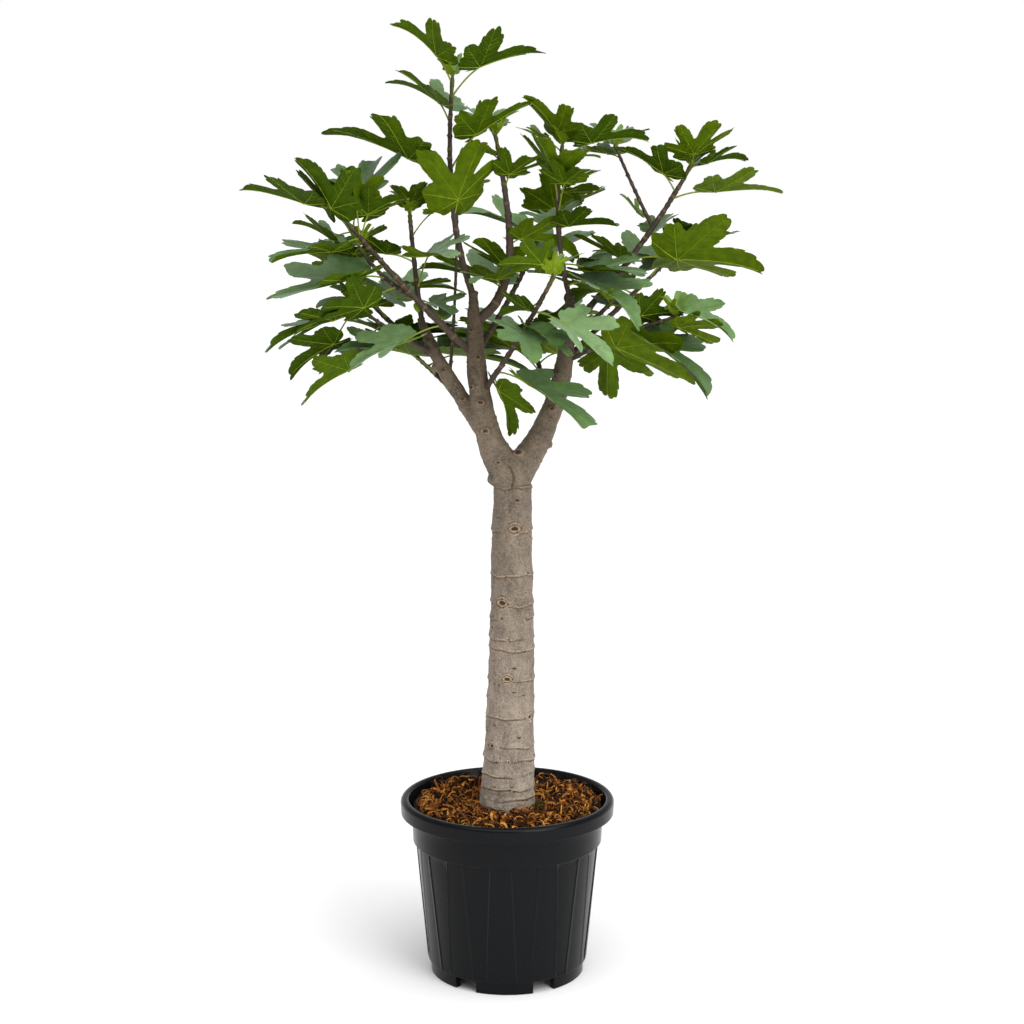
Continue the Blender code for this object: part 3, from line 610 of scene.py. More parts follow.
class Axis:
    """The middle line of a limb, with its radius along it."""

    def __init__(self, limb, start, steps):
        self.points = [start]
        self.radii = [limb.radius]
        for i in range(steps):
            share = (i + 0.5) / steps
            rise = limb.end_rise + (limb.rise - limb.end_rise) * (1 - share) ** limb.bend
            self.points.append(self.points[-1] + direction(limb.heading, rise) * limb.length / steps)
            self.radii.append(limb.radius + (limb.end_radius - limb.radius) * (i + 1) / steps)

    def place(self, share):
        """The corner before a share of the limb's length, and how far it lies towards the next."""
        place = min(max(share, 0), 1) * (len(self.points) - 1)
        low = min(int(place), len(self.points) - 2)
        return low, place - low

    def at(self, share):
        """The point at a share of the limb's length."""
        low, past = self.place(share)
        return self.points[low].lerp(self.points[low + 1], past)

    def radius_at(self, share):
        """The radius at a share of the limb's length."""
        low, past = self.place(share)
        return self.radii[low] + (self.radii[low + 1] - self.radii[low]) * past


def trunk_point(height):
    """The point of the trunk's middle line at a height above its base."""
    return Vector((between(height, TRUNK_HEIGHTS, TRUNK_DRIFT), 0, GROUND + height))


def grow_axes():
    """Every bough and shoot, each from its place on its parent."""
    axes = {}
    for name, limb in {**BOUGHS, **SHOOTS}.items():
        steps = BOUGH_STEPS if name in BOUGHS else SHOOT_STEPS
        start = trunk_point(FORK_HEIGHT) if limb.parent == "trunk" else axes[limb.parent].at(limb.share)
        axes[name] = Axis(limb, start, steps)
    return axes


def sides_of(name):
    """How many sides the plain solid of a bough or shoot has."""
    return BOUGH_SIDES if name in BOUGHS else SHOOT_SIDES


def rear_rows(name):
    """Leaves by the rule, from low on the shoot to its tip, smaller towards the tip."""
    rule = random.Random(f"{REAR_SHOOTS[name]} {name}")
    first = BARE_SHARES[name] + 0.04
    rows = []
    turn = SHOOTS[name].heading + 70
    for i in range(REAR_LEAVES):
        share = first + (0.98 - first) * i / (REAR_LEAVES - 1)
        stalk = rule.uniform(45, 75) * (1.1 - 0.4 * share)
        rise = rule.uniform(-16, 12) + 12 * share
        blade = rule.uniform(125, 165) * (1.1 - 0.3 * share)
        rows.append((share, turn % 360, rule.uniform(15, 45), stalk, rise, blade, rule.uniform(-12, 12)))
        turn += GOLDEN_ANGLE + rule.uniform(-12, 12)
    return rows


def leaf_rows(name):
    """The shoot's leaves, from the table or by the rule."""
    rows = LEAVES.get(name) or rear_rows(name)
    return [Leaf(*row) for row in rows]


def leaf_frame(leaf):
    """Unit vectors along the midrib, to the left of it and out of the upper side."""
    midrib = direction(leaf.heading, leaf.rise)
    turn = math.radians(leaf.heading)
    level = Vector((-math.sin(turn), math.cos(turn), 0))
    upper = midrib.cross(level)
    roll = math.radians(leaf.roll) * (-1 if math.cos(turn) > 0 else 1)
    left = level * math.cos(roll) + upper * math.sin(roll)
    return midrib, left, midrib.cross(left)


def stalk_line(leaf, axis):
    """The stalk's middle line, from inside the shoot to the blade's foot."""
    root = axis.at(leaf.share)
    reach = direction(leaf.heading, leaf.stalk_rise) * leaf.stalk / 1000
    bow = Vector((0, 0, STALK_BOW * leaf.stalk / 1000))
    return [root, root + reach * 0.5 + bow, root + reach]


def blade_outline():
    """(angle, radius) all round the blade, from its tip by the left side and back by the right."""
    left = [(math.radians(angle), radius) for angle, radius in LOBES]
    right = [(-angle, radius) for angle, radius in reversed(left[1:])]
    return left + [(math.pi, NOTCH_RADIUS)] + right


def blade_solid(leaf, foot, thickness, grown=1.0):
    """(corners, faces) of a folded blade: an upper and a lower fan about a point of its midrib, and a rim."""
    midrib, left, upper = leaf_frame(leaf)
    size = leaf.blade / 1000 * grown
    outline = [(FAN_CENTRE, 0.0)] + [(r * math.cos(a), r * math.sin(a)) for a, r in blade_outline()]
    corners = []
    for side in (0.5, -0.5):
        for u, v in outline:
            height = (FOLD * abs(v) + ARCH * u * (1 - abs(u))) * size + side * thickness
            corners.append(foot + midrib * u * size + left * v * size + upper * height)
    count = len(outline)
    rim = count - 1
    faces = []
    for i in range(1, count):
        after = i % rim + 1
        faces.append((0, i, after))
        faces.append((count, count + after, count + i))
        faces.append((i, count + i, count + after))
        faces.append((i, count + after, after))
    return corners, faces


def stalk_solid(leaf, line, thicker=0.0):
    """(corners, faces) of a plain stalk that ends inside its blade."""
    midrib = leaf_frame(leaf)[0]
    points = line + [line[-1] + midrib * STALK_IN_BLADE]
    radii = [STALK_RADIUS * share + thicker for share in (1.2, 1.0, 0.95, 0.8)]
    return tube(points, radii, 3)


class Space:
    """What is already placed. A leaf is fitted only where it keeps clear of all of it."""

    def __init__(self):
        self.placed = []

    @staticmethod
    def entry(corners, faces):
        """The solid as a tree of faces, with its middle and how far it reaches from there."""
        middle = sum(corners, Vector()) / len(corners)
        reach = max((corner - middle).length for corner in corners)
        return BVHTree.FromPolygons(corners, faces), middle, reach

    def add(self, solid, owner):
        """Places a solid, with the name of its owner."""
        self.placed.append((*self.entry(*solid), owner))

    def is_free(self, solid, fused_with):
        """Whether the solid keeps clear of all but what it is fused with."""
        tree, middle, reach = self.entry(*solid)
        for other, centre, extent, owner in self.placed:
            if owner in fused_with:
                continue
            if (centre - middle).length < reach + extent and tree.overlap(other):
                return False
        return True


def nudges():
    """(size, turn, climb) to try, the least first, with a small change of each kind before a large one."""
    found = [(size, turn, climb) for size in SIZES for turn in TURNS for climb in CLIMBS]
    return sorted(found, key=lambda n: (abs(n[1]) + abs(n[2]) + SIZE_COST * (1 - n[0]), n))


def fits(name, leaf, axis, space, friends):
    """Whether the leaf keeps clear of all but its friends. Its stalk may leave its own stem, and come back to
    neither that nor another."""
    line = stalk_line(leaf, axis)
    far_line = [line[0].lerp(line[1], 0.8), line[1].lerp(line[2], 0.5), line[2]]
    blade = blade_solid(leaf, line[-1], BLADE_THICKNESS + 2 * BLADE_CLEARANCE, 1.02)
    return (
        space.is_free(blade, friends)
        and space.is_free(stalk_solid(leaf, far_line, BLADE_CLEARANCE), friends)
        and space.is_free(stalk_solid(leaf, line, BLADE_CLEARANCE), friends | {stem_of(name)})
    )


def stem_of(name):
    """The owner's name for a shoot's own stem."""
    return name + " stem"


def place_leaf(name, leaf, axis, space):
    """The leaf as it fits, turned a little if it must be, or None. It may cross leaves of its own mass only
    where no small turn avoids that."""
    tries = nudges()
    small = tries[: len(tries) // 3]
    for friends, group in ((set(), small), ({name}, small), (set(), tries), ({name}, tries)):
        for size, turn, climb in group:
            heading = leaf.heading + turn
            tried = leaf._replace(heading=heading, rise=leaf.rise + climb, blade=leaf.blade * size)
            if fits(name, tried, axis, space, friends):
                line = stalk_line(tried, axis)
                space.add(blade_solid(tried, line[-1], BLADE_THICKNESS), name)
                space.add(stalk_solid(tried, line), name)
                return tried
    return None


def place_leaves(axes):
    """{shoot: leaves}, the shoots taken in turn, with every limb and stem placed before them."""
    space = Space()
    for name, axis in axes.items():
        space.add(tube(axis.points, axis.radii, sides_of(name)), stem_of(name))
    space.add(tube([trunk_point(0), trunk_point(FORK_HEIGHT)], [TRUNK_RADII[0]] * 2, TRUNK_SIDES), "trunk")
    placed = {}
    for name in SHOOTS:
        tried = [place_leaf(name, leaf, axes[name], space) for leaf in leaf_rows(name)]
        placed[name] = [leaf for leaf in tried if leaf]
    return placed


class Piece:
    """A joined mesh in the making: its corners, and its faces with the finish of each."""

    def __init__(self, name, finishes, slot, nodes):
        self.name = name
        self.finishes = list(finishes)
        self.slot = slot
        self.nodes = nodes
        self.corners = []
        self.faces = []
        self.looks = []
        self.count = 0

    def add(self, corners, *groups):
        """Corners, then (faces, finish) for each group of faces, which count from the first of these corners.
        A finish is a name, or an array with the number of a finish for each face."""
        corners = np.asarray(corners, float).reshape(-1, 3)
        for faces, finish in groups:
            faces = np.asarray(faces, np.int32)
            look = self.finishes.index(finish) if isinstance(finish, str) else finish
            self.faces.append(faces + self.count)
            self.looks.append(np.broadcast_to(np.asarray(look, np.int32), (len(faces),)))
        self.corners.append(corners)
        self.count += len(corners)

    def add_pipe(self, points, radii, count, finish):
        """A closed tube with one finish."""
        corners, quads, ends = pipe(points, radii, count)
        self.add(corners, (quads, finish), (ends, finish))

    def build(self, sharp=50):
        """The mesh of all that was added, with edges sharp from that angle on."""
        mesh = bpy.data.meshes.new(self.name)
        corners = np.concatenate(self.corners)
        sizes = np.concatenate([np.full(len(faces), faces.shape[1]) for faces in self.faces])
        loops = np.concatenate([faces.reshape(-1) for faces in self.faces])
        mesh.vertices.add(len(corners))
        mesh.vertices.foreach_set("co", corners.reshape(-1).astype(np.float32))
        mesh.loops.add(len(loops))
        mesh.loops.foreach_set("vertex_index", loops.astype(np.int32))
        mesh.polygons.add(len(sizes))
        mesh.polygons.foreach_set("loop_start", (np.cumsum(sizes) - sizes).astype(np.int32))
        mesh.polygons.foreach_set("material_index", np.concatenate(self.looks).astype(np.int32))
        mesh.update(calc_edges=True)
        mesh.validate()
        self.dress(mesh, sharp)

    def dress(self, mesh, sharp):
        """An object of the mesh with its finishes, riding on the plant."""
        for finish in self.finishes:
            mesh.materials.append(FINISHES[finish])
        mesh.shade_smooth()
        mesh.set_sharp_from_angle(angle=math.radians(sharp))
        made = bpy.data.objects.new(self.name, mesh)
        bpy.context.scene.collection.objects.link(made)
        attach(made, "root")
        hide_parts(*self.nodes)


def grid_faces(rows, columns, around=True):
    """Quads of a grid of corners, closed round each row if around is set."""
    row = np.arange(rows - 1)[:, None] * columns
    column = np.arange(columns if around else columns - 1)[None, :]
    after = (column + 1) % columns
    above = row + columns
    return np.stack([row + column, row + after, above + after, above + column], -1).reshape(-1, 4)


def cap_faces(rows, columns):
    """Triangles that close both ends of such a grid, about two points that come after it."""
    column = np.arange(columns)
    after = (column + 1) % columns
    last = (rows - 1) * columns
    middle = np.full(columns, rows * columns)
    low = np.stack([middle, after, column], -1)
    high = np.stack([middle + 1, last + column, last + after], -1)
    return np.concatenate([low, high])


def frames_along(points):
    """Unit vectors along and across a line of points, with no twist."""
    along = np.gradient(points, axis=0)
    along /= np.linalg.norm(along, axis=1)[:, None]
    side = np.cross(along[0], (0.3, 0.9, 0.1))
    sides = []
    for step in along:
        side = side - step * side.dot(step)
        side = side / np.linalg.norm(side)
        sides.append(side)
    sides = np.array(sides)
    return along, sides, np.cross(along, sides)


def pipe(points, radii, count):
    """(corners, quads, triangles) of a closed tube, with one radius for each point or a row of them."""
    points = np.asarray(points, float)
    radii = np.asarray(radii, float)
    if radii.ndim == 1:
        radii = radii[:, None]
    _, side, up = frames_along(points)
    turn = np.arange(count) * math.tau / count
    spokes = side[:, None] * np.cos(turn)[None, :, None] + up[:, None] * np.sin(turn)[None, :, None]
    corners = points[:, None] + spokes * radii[..., None]
    corners = np.concatenate([corners.reshape(-1, 3), points[:1], points[-1:]])
    return corners, grid_faces(len(points), count), cap_faces(len(points), count)


def eased(points, shares):
    """A smooth line through the points, read at shares of it."""
    points = np.asarray([tuple(p) for p in points])
    last = len(points) - 1
    padded = np.concatenate([[2 * points[0] - points[1]], points, [2 * points[-1] - points[-2]]])
    place = np.clip(shares, 0, 1) * last
    low = np.minimum(place.astype(int), last - 1)
    t = (place - low)[:, None]
    a, b, c, d = (padded[low + k] for k in range(4))
    return 0.5 * (2 * b + (c - a) * t + (2 * a - 5 * b + 4 * c - d) * t**2 + (3 * b - a - 3 * c + d) * t**3)


def square_ends(count):
    """The two end faces of a strip that has four corners at each of its places."""
    last = 4 * (count - 1)
    return [[3, 2, 1, 0], [last, last + 1, last + 2, last + 3]]


def bell(off, width):
    """1 at no offset, falling smoothly to nothing at about twice the width."""
    return np.exp(-((off / width) ** 2))


# Finishes

def shader_of(name):
    """A new material and its shader."""
    found = bpy.data.materials.new(name)
    found.use_nodes = True
    return found, found.node_tree.nodes["Principled BSDF"]


def add_node(material, kind, **values):
    """A node of the material with some of its inputs set."""
    node = material.node_tree.nodes.new(kind)
    for name, value in values.items():
        node.inputs[name].default_value = value
    return node


def join(material, output, entry):
    """Links an output of one node to an input of another."""
    material.node_tree.links.new(output, entry)


def speckle(material, scale, detail=3.0, rough=0.55, stretch=(1, 1, 1)):
    """A fine three-dimensional noise in metres of the plant."""
    place = add_node(material, "ShaderNodeTexCoord")
    mapping = add_node(material, "ShaderNodeMapping", Scale=stretch)
    grain = add_node(material, "ShaderNodeTexNoise", Scale=scale, Detail=detail, Roughness=rough)
    join(material, place.outputs["Object"], mapping.inputs["Vector"])
    join(material, mapping.outputs["Vector"], grain.inputs["Vector"])
    return grain.outputs["Fac"]


def ramp(material, source, stops):
    """Colours along the source, as (place, colour) stops."""
    node = add_node(material, "ShaderNodeValToRGB")
    while len(node.color_ramp.elements) < len(stops):
        node.color_ramp.elements.new(0.5)
    for element, (place, colour) in zip(node.color_ramp.elements, stops):
        element.position = place
        element.color = (*colour, 1)
    join(material, source, node.inputs["Fac"])
    return node.outputs["Color"]


def bumped(material, shader, source, strength, distance):
    """Gives the surface the relief of the source."""
    node = add_node(material, "ShaderNodeBump", Strength=strength, Distance=distance)
    join(material, source, node.inputs["Height"])
    join(material, node.outputs["Normal"], shader.inputs["Normal"])


def mix_node(material, first, second):
    """A node that mixes two colours."""
    node = add_node(material, "ShaderNodeMix")
    node.data_type = "RGBA"
    join(material, first, node.inputs[MIX_FIRST])
    join(material, second, node.inputs[MIX_SECOND])
    return node


def mixed(material, share, first, second):
    """The two colour outputs mixed by the share output."""
    node = mix_node(material, first, second)
    join(material, share, node.inputs["Factor"])
    return node.outputs[MIX_RESULT]


def shade(colour, factor):
    """The colour made lighter or darker."""
    return tuple(min(c * factor, 1) for c in colour)


def plain_finish(name, colour, roughness, gloss, spread, scale, bump):
    """A colour that varies a little from place to place, with a fine relief."""
    found, shader = shader_of(name)
    stops = ((0.30, shade(colour, 1 - spread)), (0.70, shade(colour, 1 + spread)))
    join(found, ramp(found, speckle(found, scale), stops), shader.inputs["Base Color"])
    shader.inputs["Roughness"].default_value = roughness
    shader.inputs["Specular IOR Level"].default_value = gloss
    bumped(found, shader, speckle(found, scale * RELIEF_FINER), bump, RELIEF_DEPTH)
    return found


def painted_crown_shade(material, colour):
    """The bark's colour with painted shade of the crown, darker and greyer towards the boughs."""
    lowest = BARK_CROWN_SHADE[0][0]
    highest = BARK_CROWN_SHADE[-1][0]
    place = add_node(material, "ShaderNodeTexCoord")
    split = add_node(material, "ShaderNodeSeparateXYZ")
    share = add_node(material, "ShaderNodeMapRange", **{"From Min": lowest, "From Max": highest})
    join(material, place.outputs["Object"], split.inputs["Vector"])
    join(material, split.outputs["Z"], share.inputs["Value"])
    stops = [((height - lowest) / (highest - lowest), left) for height, left in BARK_CROWN_SHADE]
    node = mix_node(material, colour, ramp(material, share.outputs["Result"], stops))
    node.blend_type = "MULTIPLY"
    node.inputs["Factor"].default_value = 1.0
    return node.outputs[MIX_RESULT]


def toned(material, source, colour, tones):
    """Shades of one colour along the source, as (place, factor) tones."""
    return ramp(material, source, [(place, shade(colour, factor)) for place, factor in tones])


def bark_finish(name, colour, spread, roughness, grain):
    """Bark with blotches drawn out along the stem, fine speckles, crooked pale lines and painted shade higher
    up.
    """
    found, shader = shader_of(name)
    blotch = speckle(found, 30, 6.0, 0.66, (1, 1, grain))
    fleck = speckle(found, 520, 3.0, 0.6, (1, 1, 0.6))
    crook = speckle(found, 120, 3.0, 0.5, (1, 1, 1.4))
    base = toned(found, blotch, colour, ((0.32, 1 - spread), (0.50, 1), (0.68, 1 + spread)))
    pale = toned(found, blotch, colour, ((0.0, 1.30), (1.0, 1.75)))
    low = toned(found, blotch, colour, ((0.0, 0.50), (1.0, 0.72)))
    line = toned(found, crook, WHITE, ((0.44, 0), (0.495, 0.9), (0.55, 0)))
    dark = toned(found, fleck, WHITE, ((0.36, 1), (0.47, 0)))
    lined = mixed(found, line, base, pale)
    # Painted shade of the crown darkens the bark higher up
    join(found, painted_crown_shade(found, mixed(found, dark, lined, low)), shader.inputs["Base Color"])
    shader.inputs["Roughness"].default_value = roughness
    shader.inputs["Specular IOR Level"].default_value = BARK_GLOSS
    bumped(found, shader, speckle(found, 170, 6.0, 0.75, (1, 1, 0.8)), 0.9, BARK_RELIEF)
    return found


def add_bloom(finish):
    """The faint pale bloom that dulls a leaf's upper side."""
    shader = finish.node_tree.nodes["Principled BSDF"]
    weight, roughness, tint = BLOOM
    shader.inputs["Sheen Weight"].default_value = weight
    shader.inputs["Sheen Roughness"].default_value = roughness
    shader.inputs["Sheen Tint"].default_value = tint


def make_finishes():
    """Fills the table of finishes."""
    for name, values in PLAIN_FINISHES.items():
        FINISHES[name] = plain_finish(name, *values)
        if name.startswith("top_"):
            add_bloom(FINISHES[name])
    for name, values in BARK_FINISHES.items():
        FINISHES[name] = bark_finish(name, *values)


# The pot

def near(angle, centres, half):
    """How far inside the nearest band of that half width each angle lies, in degrees, below 0 outside it."""
    off = np.abs((angle[:, None] - np.asarray(centres)[None, :] + 180) % 360 - 180)
    return half - off.min(axis=1)


def flute_share(height):
    """How far up the fluted wall a height lies, from 0 to 1."""
    return min(max((height - FOOT_HEIGHT) / (COLLAR_BOTTOM - FOOT_HEIGHT), 0), 1)


def pot_columns(height):
    """(angle, relief) of the body's columns at a height. They lie close together at the edges of each flute,
    which narrows towards the foot, and the flute's edges stand out as fine beads."""
    share = flute_share(height)
    half = (FLUTE_FOOT_WIDTH + (FLUTE_TOP_WIDTH - FLUTE_FOOT_WIDTH) * share) / 2
    rib = 180 / FLUTES - half - FLUTE_EDGE
    deep = -FLUTE_DEPTH * FLUTE_SHOWN
    floor = [(half - 0.9) * t for t in (0.35, 0.70, 1.0)]
    edge = [half - 0.45, half, half + FLUTE_EDGE / 2, half + FLUTE_EDGE]
    outside = [half + FLUTE_EDGE + rib * t for t in (0.25, 0.5, 0.75)]
    right = floor + edge + outside
    relief = [deep] * 3 + [deep * 0.45, FLUTE_BEAD, FLUTE_BEAD * 0.6, 0, 0, 0, 0]
    offsets = [-180 / FLUTES] + [-x for x in reversed(right)] + [0] + right
    reliefs = [0] + list(reversed(relief)) + [deep] + relief
    turns = [FLUTE_TURN + 360 / FLUTES * k + off for k in range(FLUTES) for off in offsets]
    fluted = FOOT_HEIGHT < height < COLLAR_BOTTOM
    sunk = min(1, (1 - share) * 60, share * 25) if fluted else 0
    return np.radians(turns), np.array(reliefs * FLUTES) * sunk


def arc(middle_r, middle_z, radius, first, last, count):
    """(radius, height) points on a quarter or half round of the pot's section, angles in degrees."""
    turns = np.radians(np.linspace(first, last, count))
    return [(middle_r + radius * math.cos(t), middle_z + radius * math.sin(t)) for t in turns]


def wall_point(share):
    """A (radius, height) point of the body's wall."""
    radius = BODY_FOOT_RADIUS + (BODY_TOP_RADIUS - BODY_FOOT_RADIUS) * share
    return radius, FOOT_HEIGHT + (COLLAR_BOTTOM - FOOT_HEIGHT) * share


def fine_pot_profile():
    """The pot's section with its edges rounded: the pad, the body, the stepped collar, the lip and inside."""
    inner_top = COLLAR_TOP_RADIUS - POT_WALL
    return (
        [(PAD_RADIUS, 0), (PAD_RADIUS + 0.004, FOOT_HEIGHT), (BODY_FOOT_RADIUS - 0.006, FOOT_HEIGHT)]
        + arc(BODY_FOOT_RADIUS - FOOT_ROUND, FOOT_HEIGHT + FOOT_ROUND, FOOT_ROUND, -80, 0, 4)
        + [wall_point(share) for share in WALL_SHARES]
        + arc(COLLAR_RADIUS - COLLAR_ROUND, COLLAR_BOTTOM + COLLAR_ROUND, COLLAR_ROUND, -75, 5, 5)
        + [(COLLAR_RADIUS + 0.0010, (COLLAR_BOTTOM + LIP_BOTTOM) / 2)]
        + [(COLLAR_TOP_RADIUS, LIP_BOTTOM - 0.003), (COLLAR_TOP_RADIUS + 0.0010, LIP_BOTTOM - 0.0006)]
        + [(LIP_RADIUS - 0.0060, LIP_BOTTOM + 0.0006)]
        + arc(LIP_RADIUS - 0.0022, LIP_BOTTOM + 0.0004, 0.0014, -90, 20, 5)
        + arc(LIP_RADIUS - LIP_OUTER_ROUND, LIP_TOP - LIP_OUTER_ROUND, LIP_OUTER_ROUND, 0, 90, 9)
        + arc(MOUTH_RADIUS + LIP_INNER_ROUND, LIP_TOP - LIP_INNER_ROUND, LIP_INNER_ROUND, 90, 175, 7)
        + [(inner_top + 0.004, LIP_BOTTOM + 0.004), (inner_top, LIP_BOTTOM - 0.004)]
        + [(BODY_FOOT_RADIUS - POT_WALL, FOOT_HEIGHT + FLOOR_THICKNESS)]
    )


def round_row(radii, heights, turns):
    """Points all round the pot's axis."""
    heights = np.broadcast_to(heights, turns.shape)
    return np.stack([radii * np.cos(turns), radii * np.sin(turns), heights], -1)


def turned_skin(profile):
    """Rings of the pot's skin with their flutes, from the profile."""
    rows = []
    for radius, height in profile:
        turns, relief = pot_columns(height)
        rows.append(round_row(radius + relief, height, turns))
    return rows


def foot_ring():
    """The ring under the pot's body, whose lower edge is raised in the notches."""
    half = math.degrees(NOTCH_WIDTH / 2 / FOOT_RADIUS)
    centres = [NOTCH_TURN + 360 / NOTCHES * k for k in range(NOTCHES)]
    edges = [centre + side * half + step for centre in centres for side in (-1, 1) for step in (-0.06, 0.06)]
    angles = np.unique(np.round(np.concatenate([np.arange(0, 360, 2.0), np.array(edges) % 360]), 4))
    notched = near(angles, centres, half) > 0
    inner = FOOT_RADIUS - FOOT_WIDTH
    outer = FOOT_RADIUS + 0.0006
    profile = [(inner, 0.0005), (inner + 0.0005, 0)]
    profile += arc(FOOT_RADIUS - FOOT_ROUND, FOOT_ROUND, FOOT_ROUND, -90, 0, 4)
    profile += [(outer, FOOT_HEIGHT - 0.0015), (outer, FOOT_HEIGHT + 0.0008), (inner, FOOT_HEIGHT + 0.0008)]
    rows = []
    for radius, height in profile:
        raised = max(height, FOOT_HEIGHT - NOTCH_GAP + 0.2 * height * (height < 0.004))
        rows.append(round_row(radius, np.where(notched, raised, height), np.radians(angles)))
    corners = np.concatenate(rows)
    return corners, grid_faces(len(profile) + 1, len(angles)) % len(corners)


def make_pot():
    """The pot's skin with its flutes sunk in, on a foot ring cut by notches."""
    rows = turned_skin(fine_pot_profile())
    count = len(rows[0])
    corners = np.concatenate([*rows, [[0, 0, 0]], [[0, 0, FOOT_HEIGHT + FLOOR_THICKNESS]]])
    piece = Piece("pot_shell", ["pot_plastic"], "pot_plastic", ["pot"])
    groups = [(faces(len(rows), count), "pot_plastic") for faces in (grid_faces, cap_faces)]
    piece.add(corners, *groups)
    ring, quads = foot_ring()
    piece.add(ring, (quads, "pot_plastic"))
    piece.build(28)


# The bark chips

def chip(rule, place, size):
    """A curled strip of husk: (corners, quads, ends), a narrow band wound into part of an open, wavy coil."""
    radius = rule.uniform(*CHIP_RADIUS) * size
    sweep = rule.uniform(*CHIP_SWEEP)
    wide = rule.uniform(*CHIP_WIDTH) * (0.4 + 0.6 * size)
    thick = rule.uniform(*CHIP_THICKNESS)
    t = np.linspace(-0.5, 0.5, CHIP_STEPS)
    still = np.zeros_like(t)
    coil = radius * (1 + rule.uniform(-0.6, 0.9) * t + 0.16 * np.sin(9 * t + rule.uniform(0, 6)))
    out = np.stack([np.sin(sweep * t), still, np.cos(sweep * t)], -1)
    middle = out * coil[:, None] + np.stack([still, rule.gauss(0, CHIP_SKEW) * t, still], -1)
    middle[:, 2] -= radius * 0.6
    taper = wide / 2 * (1 - 1.5 * np.abs(t) ** 2.2) * (1 + 0.25 * np.sin(8 * t + rule.uniform(0, 6)))
    tilt = rule.gauss(0, 0.6)
    side = out * math.sin(tilt) + np.array([0, math.cos(tilt), 0])
    side = side * taper[:, None]
    up = out * thick / 2
    ring = np.stack([middle - side - up, middle - side + up, middle + side + up, middle + side - up], 1)
    spin = Euler((rule.gauss(0, 0.8), rule.gauss(0, 0.8), rule.uniform(0, math.tau))).to_matrix()
    corners = ring.reshape(-1, 3) @ np.array(spin).T + np.array(place)
    return corners, grid_faces(CHIP_STEPS, 4), square_ends(CHIP_STEPS)


def bed_height(x, y):
    """The top of the bark mix: a little higher at its edge, and uneven."""
    reach = math.hypot(x, y)
    rise = (SOIL_EDGE - SOIL_MIDDLE) * min(max((reach - 0.06) / 0.10, 0), 1)
    return SOIL_MIDDLE + rise + 0.0030 * noise.noise(Vector((x * 40, y * 40, 0)))


def make_bed(piece):
    """The dark, crumbly mix under the chips, closed below."""
    turns = [math.tau * k / BED_SIDES for k in range(BED_SIDES)]
    corners = []
    for radius in (BED_CORE, BED_RADIUS - 0.003):
        corners += [(radius * math.cos(turn), radius * math.sin(turn), BED_BOTTOM) for turn in turns]
    for radius in np.linspace(BED_RADIUS, BED_CORE, BED_RINGS):
        for turn in turns:
            x = radius * math.cos(turn)
            y = radius * math.sin(turn)
            rough = 0.0022 * noise.noise(Vector((x * 160, y * 160, 3)))
            corners.append((x, y, bed_height(x, y) - 0.003 + rough))
    rows = BED_RINGS + 2
    corners += [(0, 0, BED_BOTTOM), (0, 0, bed_height(0, 0))]
    piece.add(corners, (grid_faces(rows, BED_SIDES), "chip_dark"), (cap_faces(rows, BED_SIDES), "chip_dark"))


def make_soil():
    """Curled husk chips of several browns, heaped on the mix, with a tuft of moss by the trunk."""
    rule = random.Random(SEED)
    piece = Piece("bark_chips", [*CHIP_SHARES, "moss"], "substrate", ["soil"])
    make_bed(piece)
    palest = len(CHIP_SHARES) - 1
    for count, lift, size in CHIP_LAYERS:
        for _ in range(count):
            turn = rule.uniform(0, math.tau)
            reach = math.sqrt(rule.uniform(CHIP_START**2, CHIP_REACH**2))
            x = reach * math.cos(turn)
            y = reach * math.sin(turn)
            place = (x, y, bed_height(x, y) + lift + rule.uniform(-0.001, 0.0015))
            corners, quads, ends = chip(rule, place, size * rule.uniform(0.7, 1.15))
            tone = rule.choices(range(palest + 1), list(CHIP_SHARES.values()))[0]
            edge = min(tone + 1, palest)
            # Each chip's edges are a tone paler; its inner, hollow side is a tone darker, as painted shade in
            # the curl
            sides = [edge, tone, edge, max(tone - 1, 0)]
            piece.add(keep_in_pot(corners), (quads, np.tile(sides, len(quads) // 4)), (ends, tone))
    grow_moss(piece, rule)
    piece.build(30)


def keep_in_pot(corners):
    """Draws in what would reach through the pot's wall."""
    reach = np.hypot(corners[:, 0], corners[:, 1])
    wall = CHIP_WALL + 0.35 * np.clip(corners[:, 2] - LIP_BOTTOM, 0, 0.03)
    share = np.minimum(1, wall / np.maximum(reach, 1e-6))
    corners[:, :2] *= share[:, None]
    return corners


def grow_moss(piece, rule):
    """A tuft of short blades."""
    for _ in range(MOSS_BLADES):
        x = MOSS_PLACE[0] + rule.gauss(0, MOSS_SPREAD)
        y = MOSS_PLACE[1] + rule.gauss(0, MOSS_SPREAD)
        foot = np.array((x, y, bed_height(x, y) + 0.001))
        tip = foot + np.array((rule.gauss(0, 0.003), rule.gauss(0, 0.003), rule.uniform(0.004, 0.009)))
        piece.add_pipe([foot, foot * 0.5 + tip * 0.5, tip], [0.0011, 0.0009, 0.0002], 4, "moss")


# The trunk and the boughs

def swell(shape, place, radii):
    """A lump on a limb."""
    turned = Matrix.LocRotScale(Vector(place), None, Vector(radii))
    bmesh.ops.create_icosphere(shape, subdivisions=3, radius=1.0, matrix=turned)


def add_pipe(shape, points, radii, count):
    """A closed tube on its own in the rough shape."""
    corners, quads, ends = pipe(points, radii, count)
    made = [shape.verts.new(corner) for corner in corners]
    for face in [*quads, *ends]:
        shape.faces.new([made[i] for i in face])


def bough_radii(name, limb, shares):
    """The bough's radii: flared where it leaves its parent, and drawn in to its shoot at the end."""
    thick = limb.radius + (limb.end_radius - limb.radius) * shares
    flare = TRUNK_FLARE if limb.parent == "trunk" else BOUGH_FLARE
    last = np.clip((shares - BOUGH_DRAWN) / (1 - BOUGH_DRAWN), 0, 1)
    drawn = (BOUGH_ENDS[name] - limb.end_radius) * last**2 * (3 - 2 * last)
    return thick + flare * bell(shares, FLARE_SHARE) + drawn


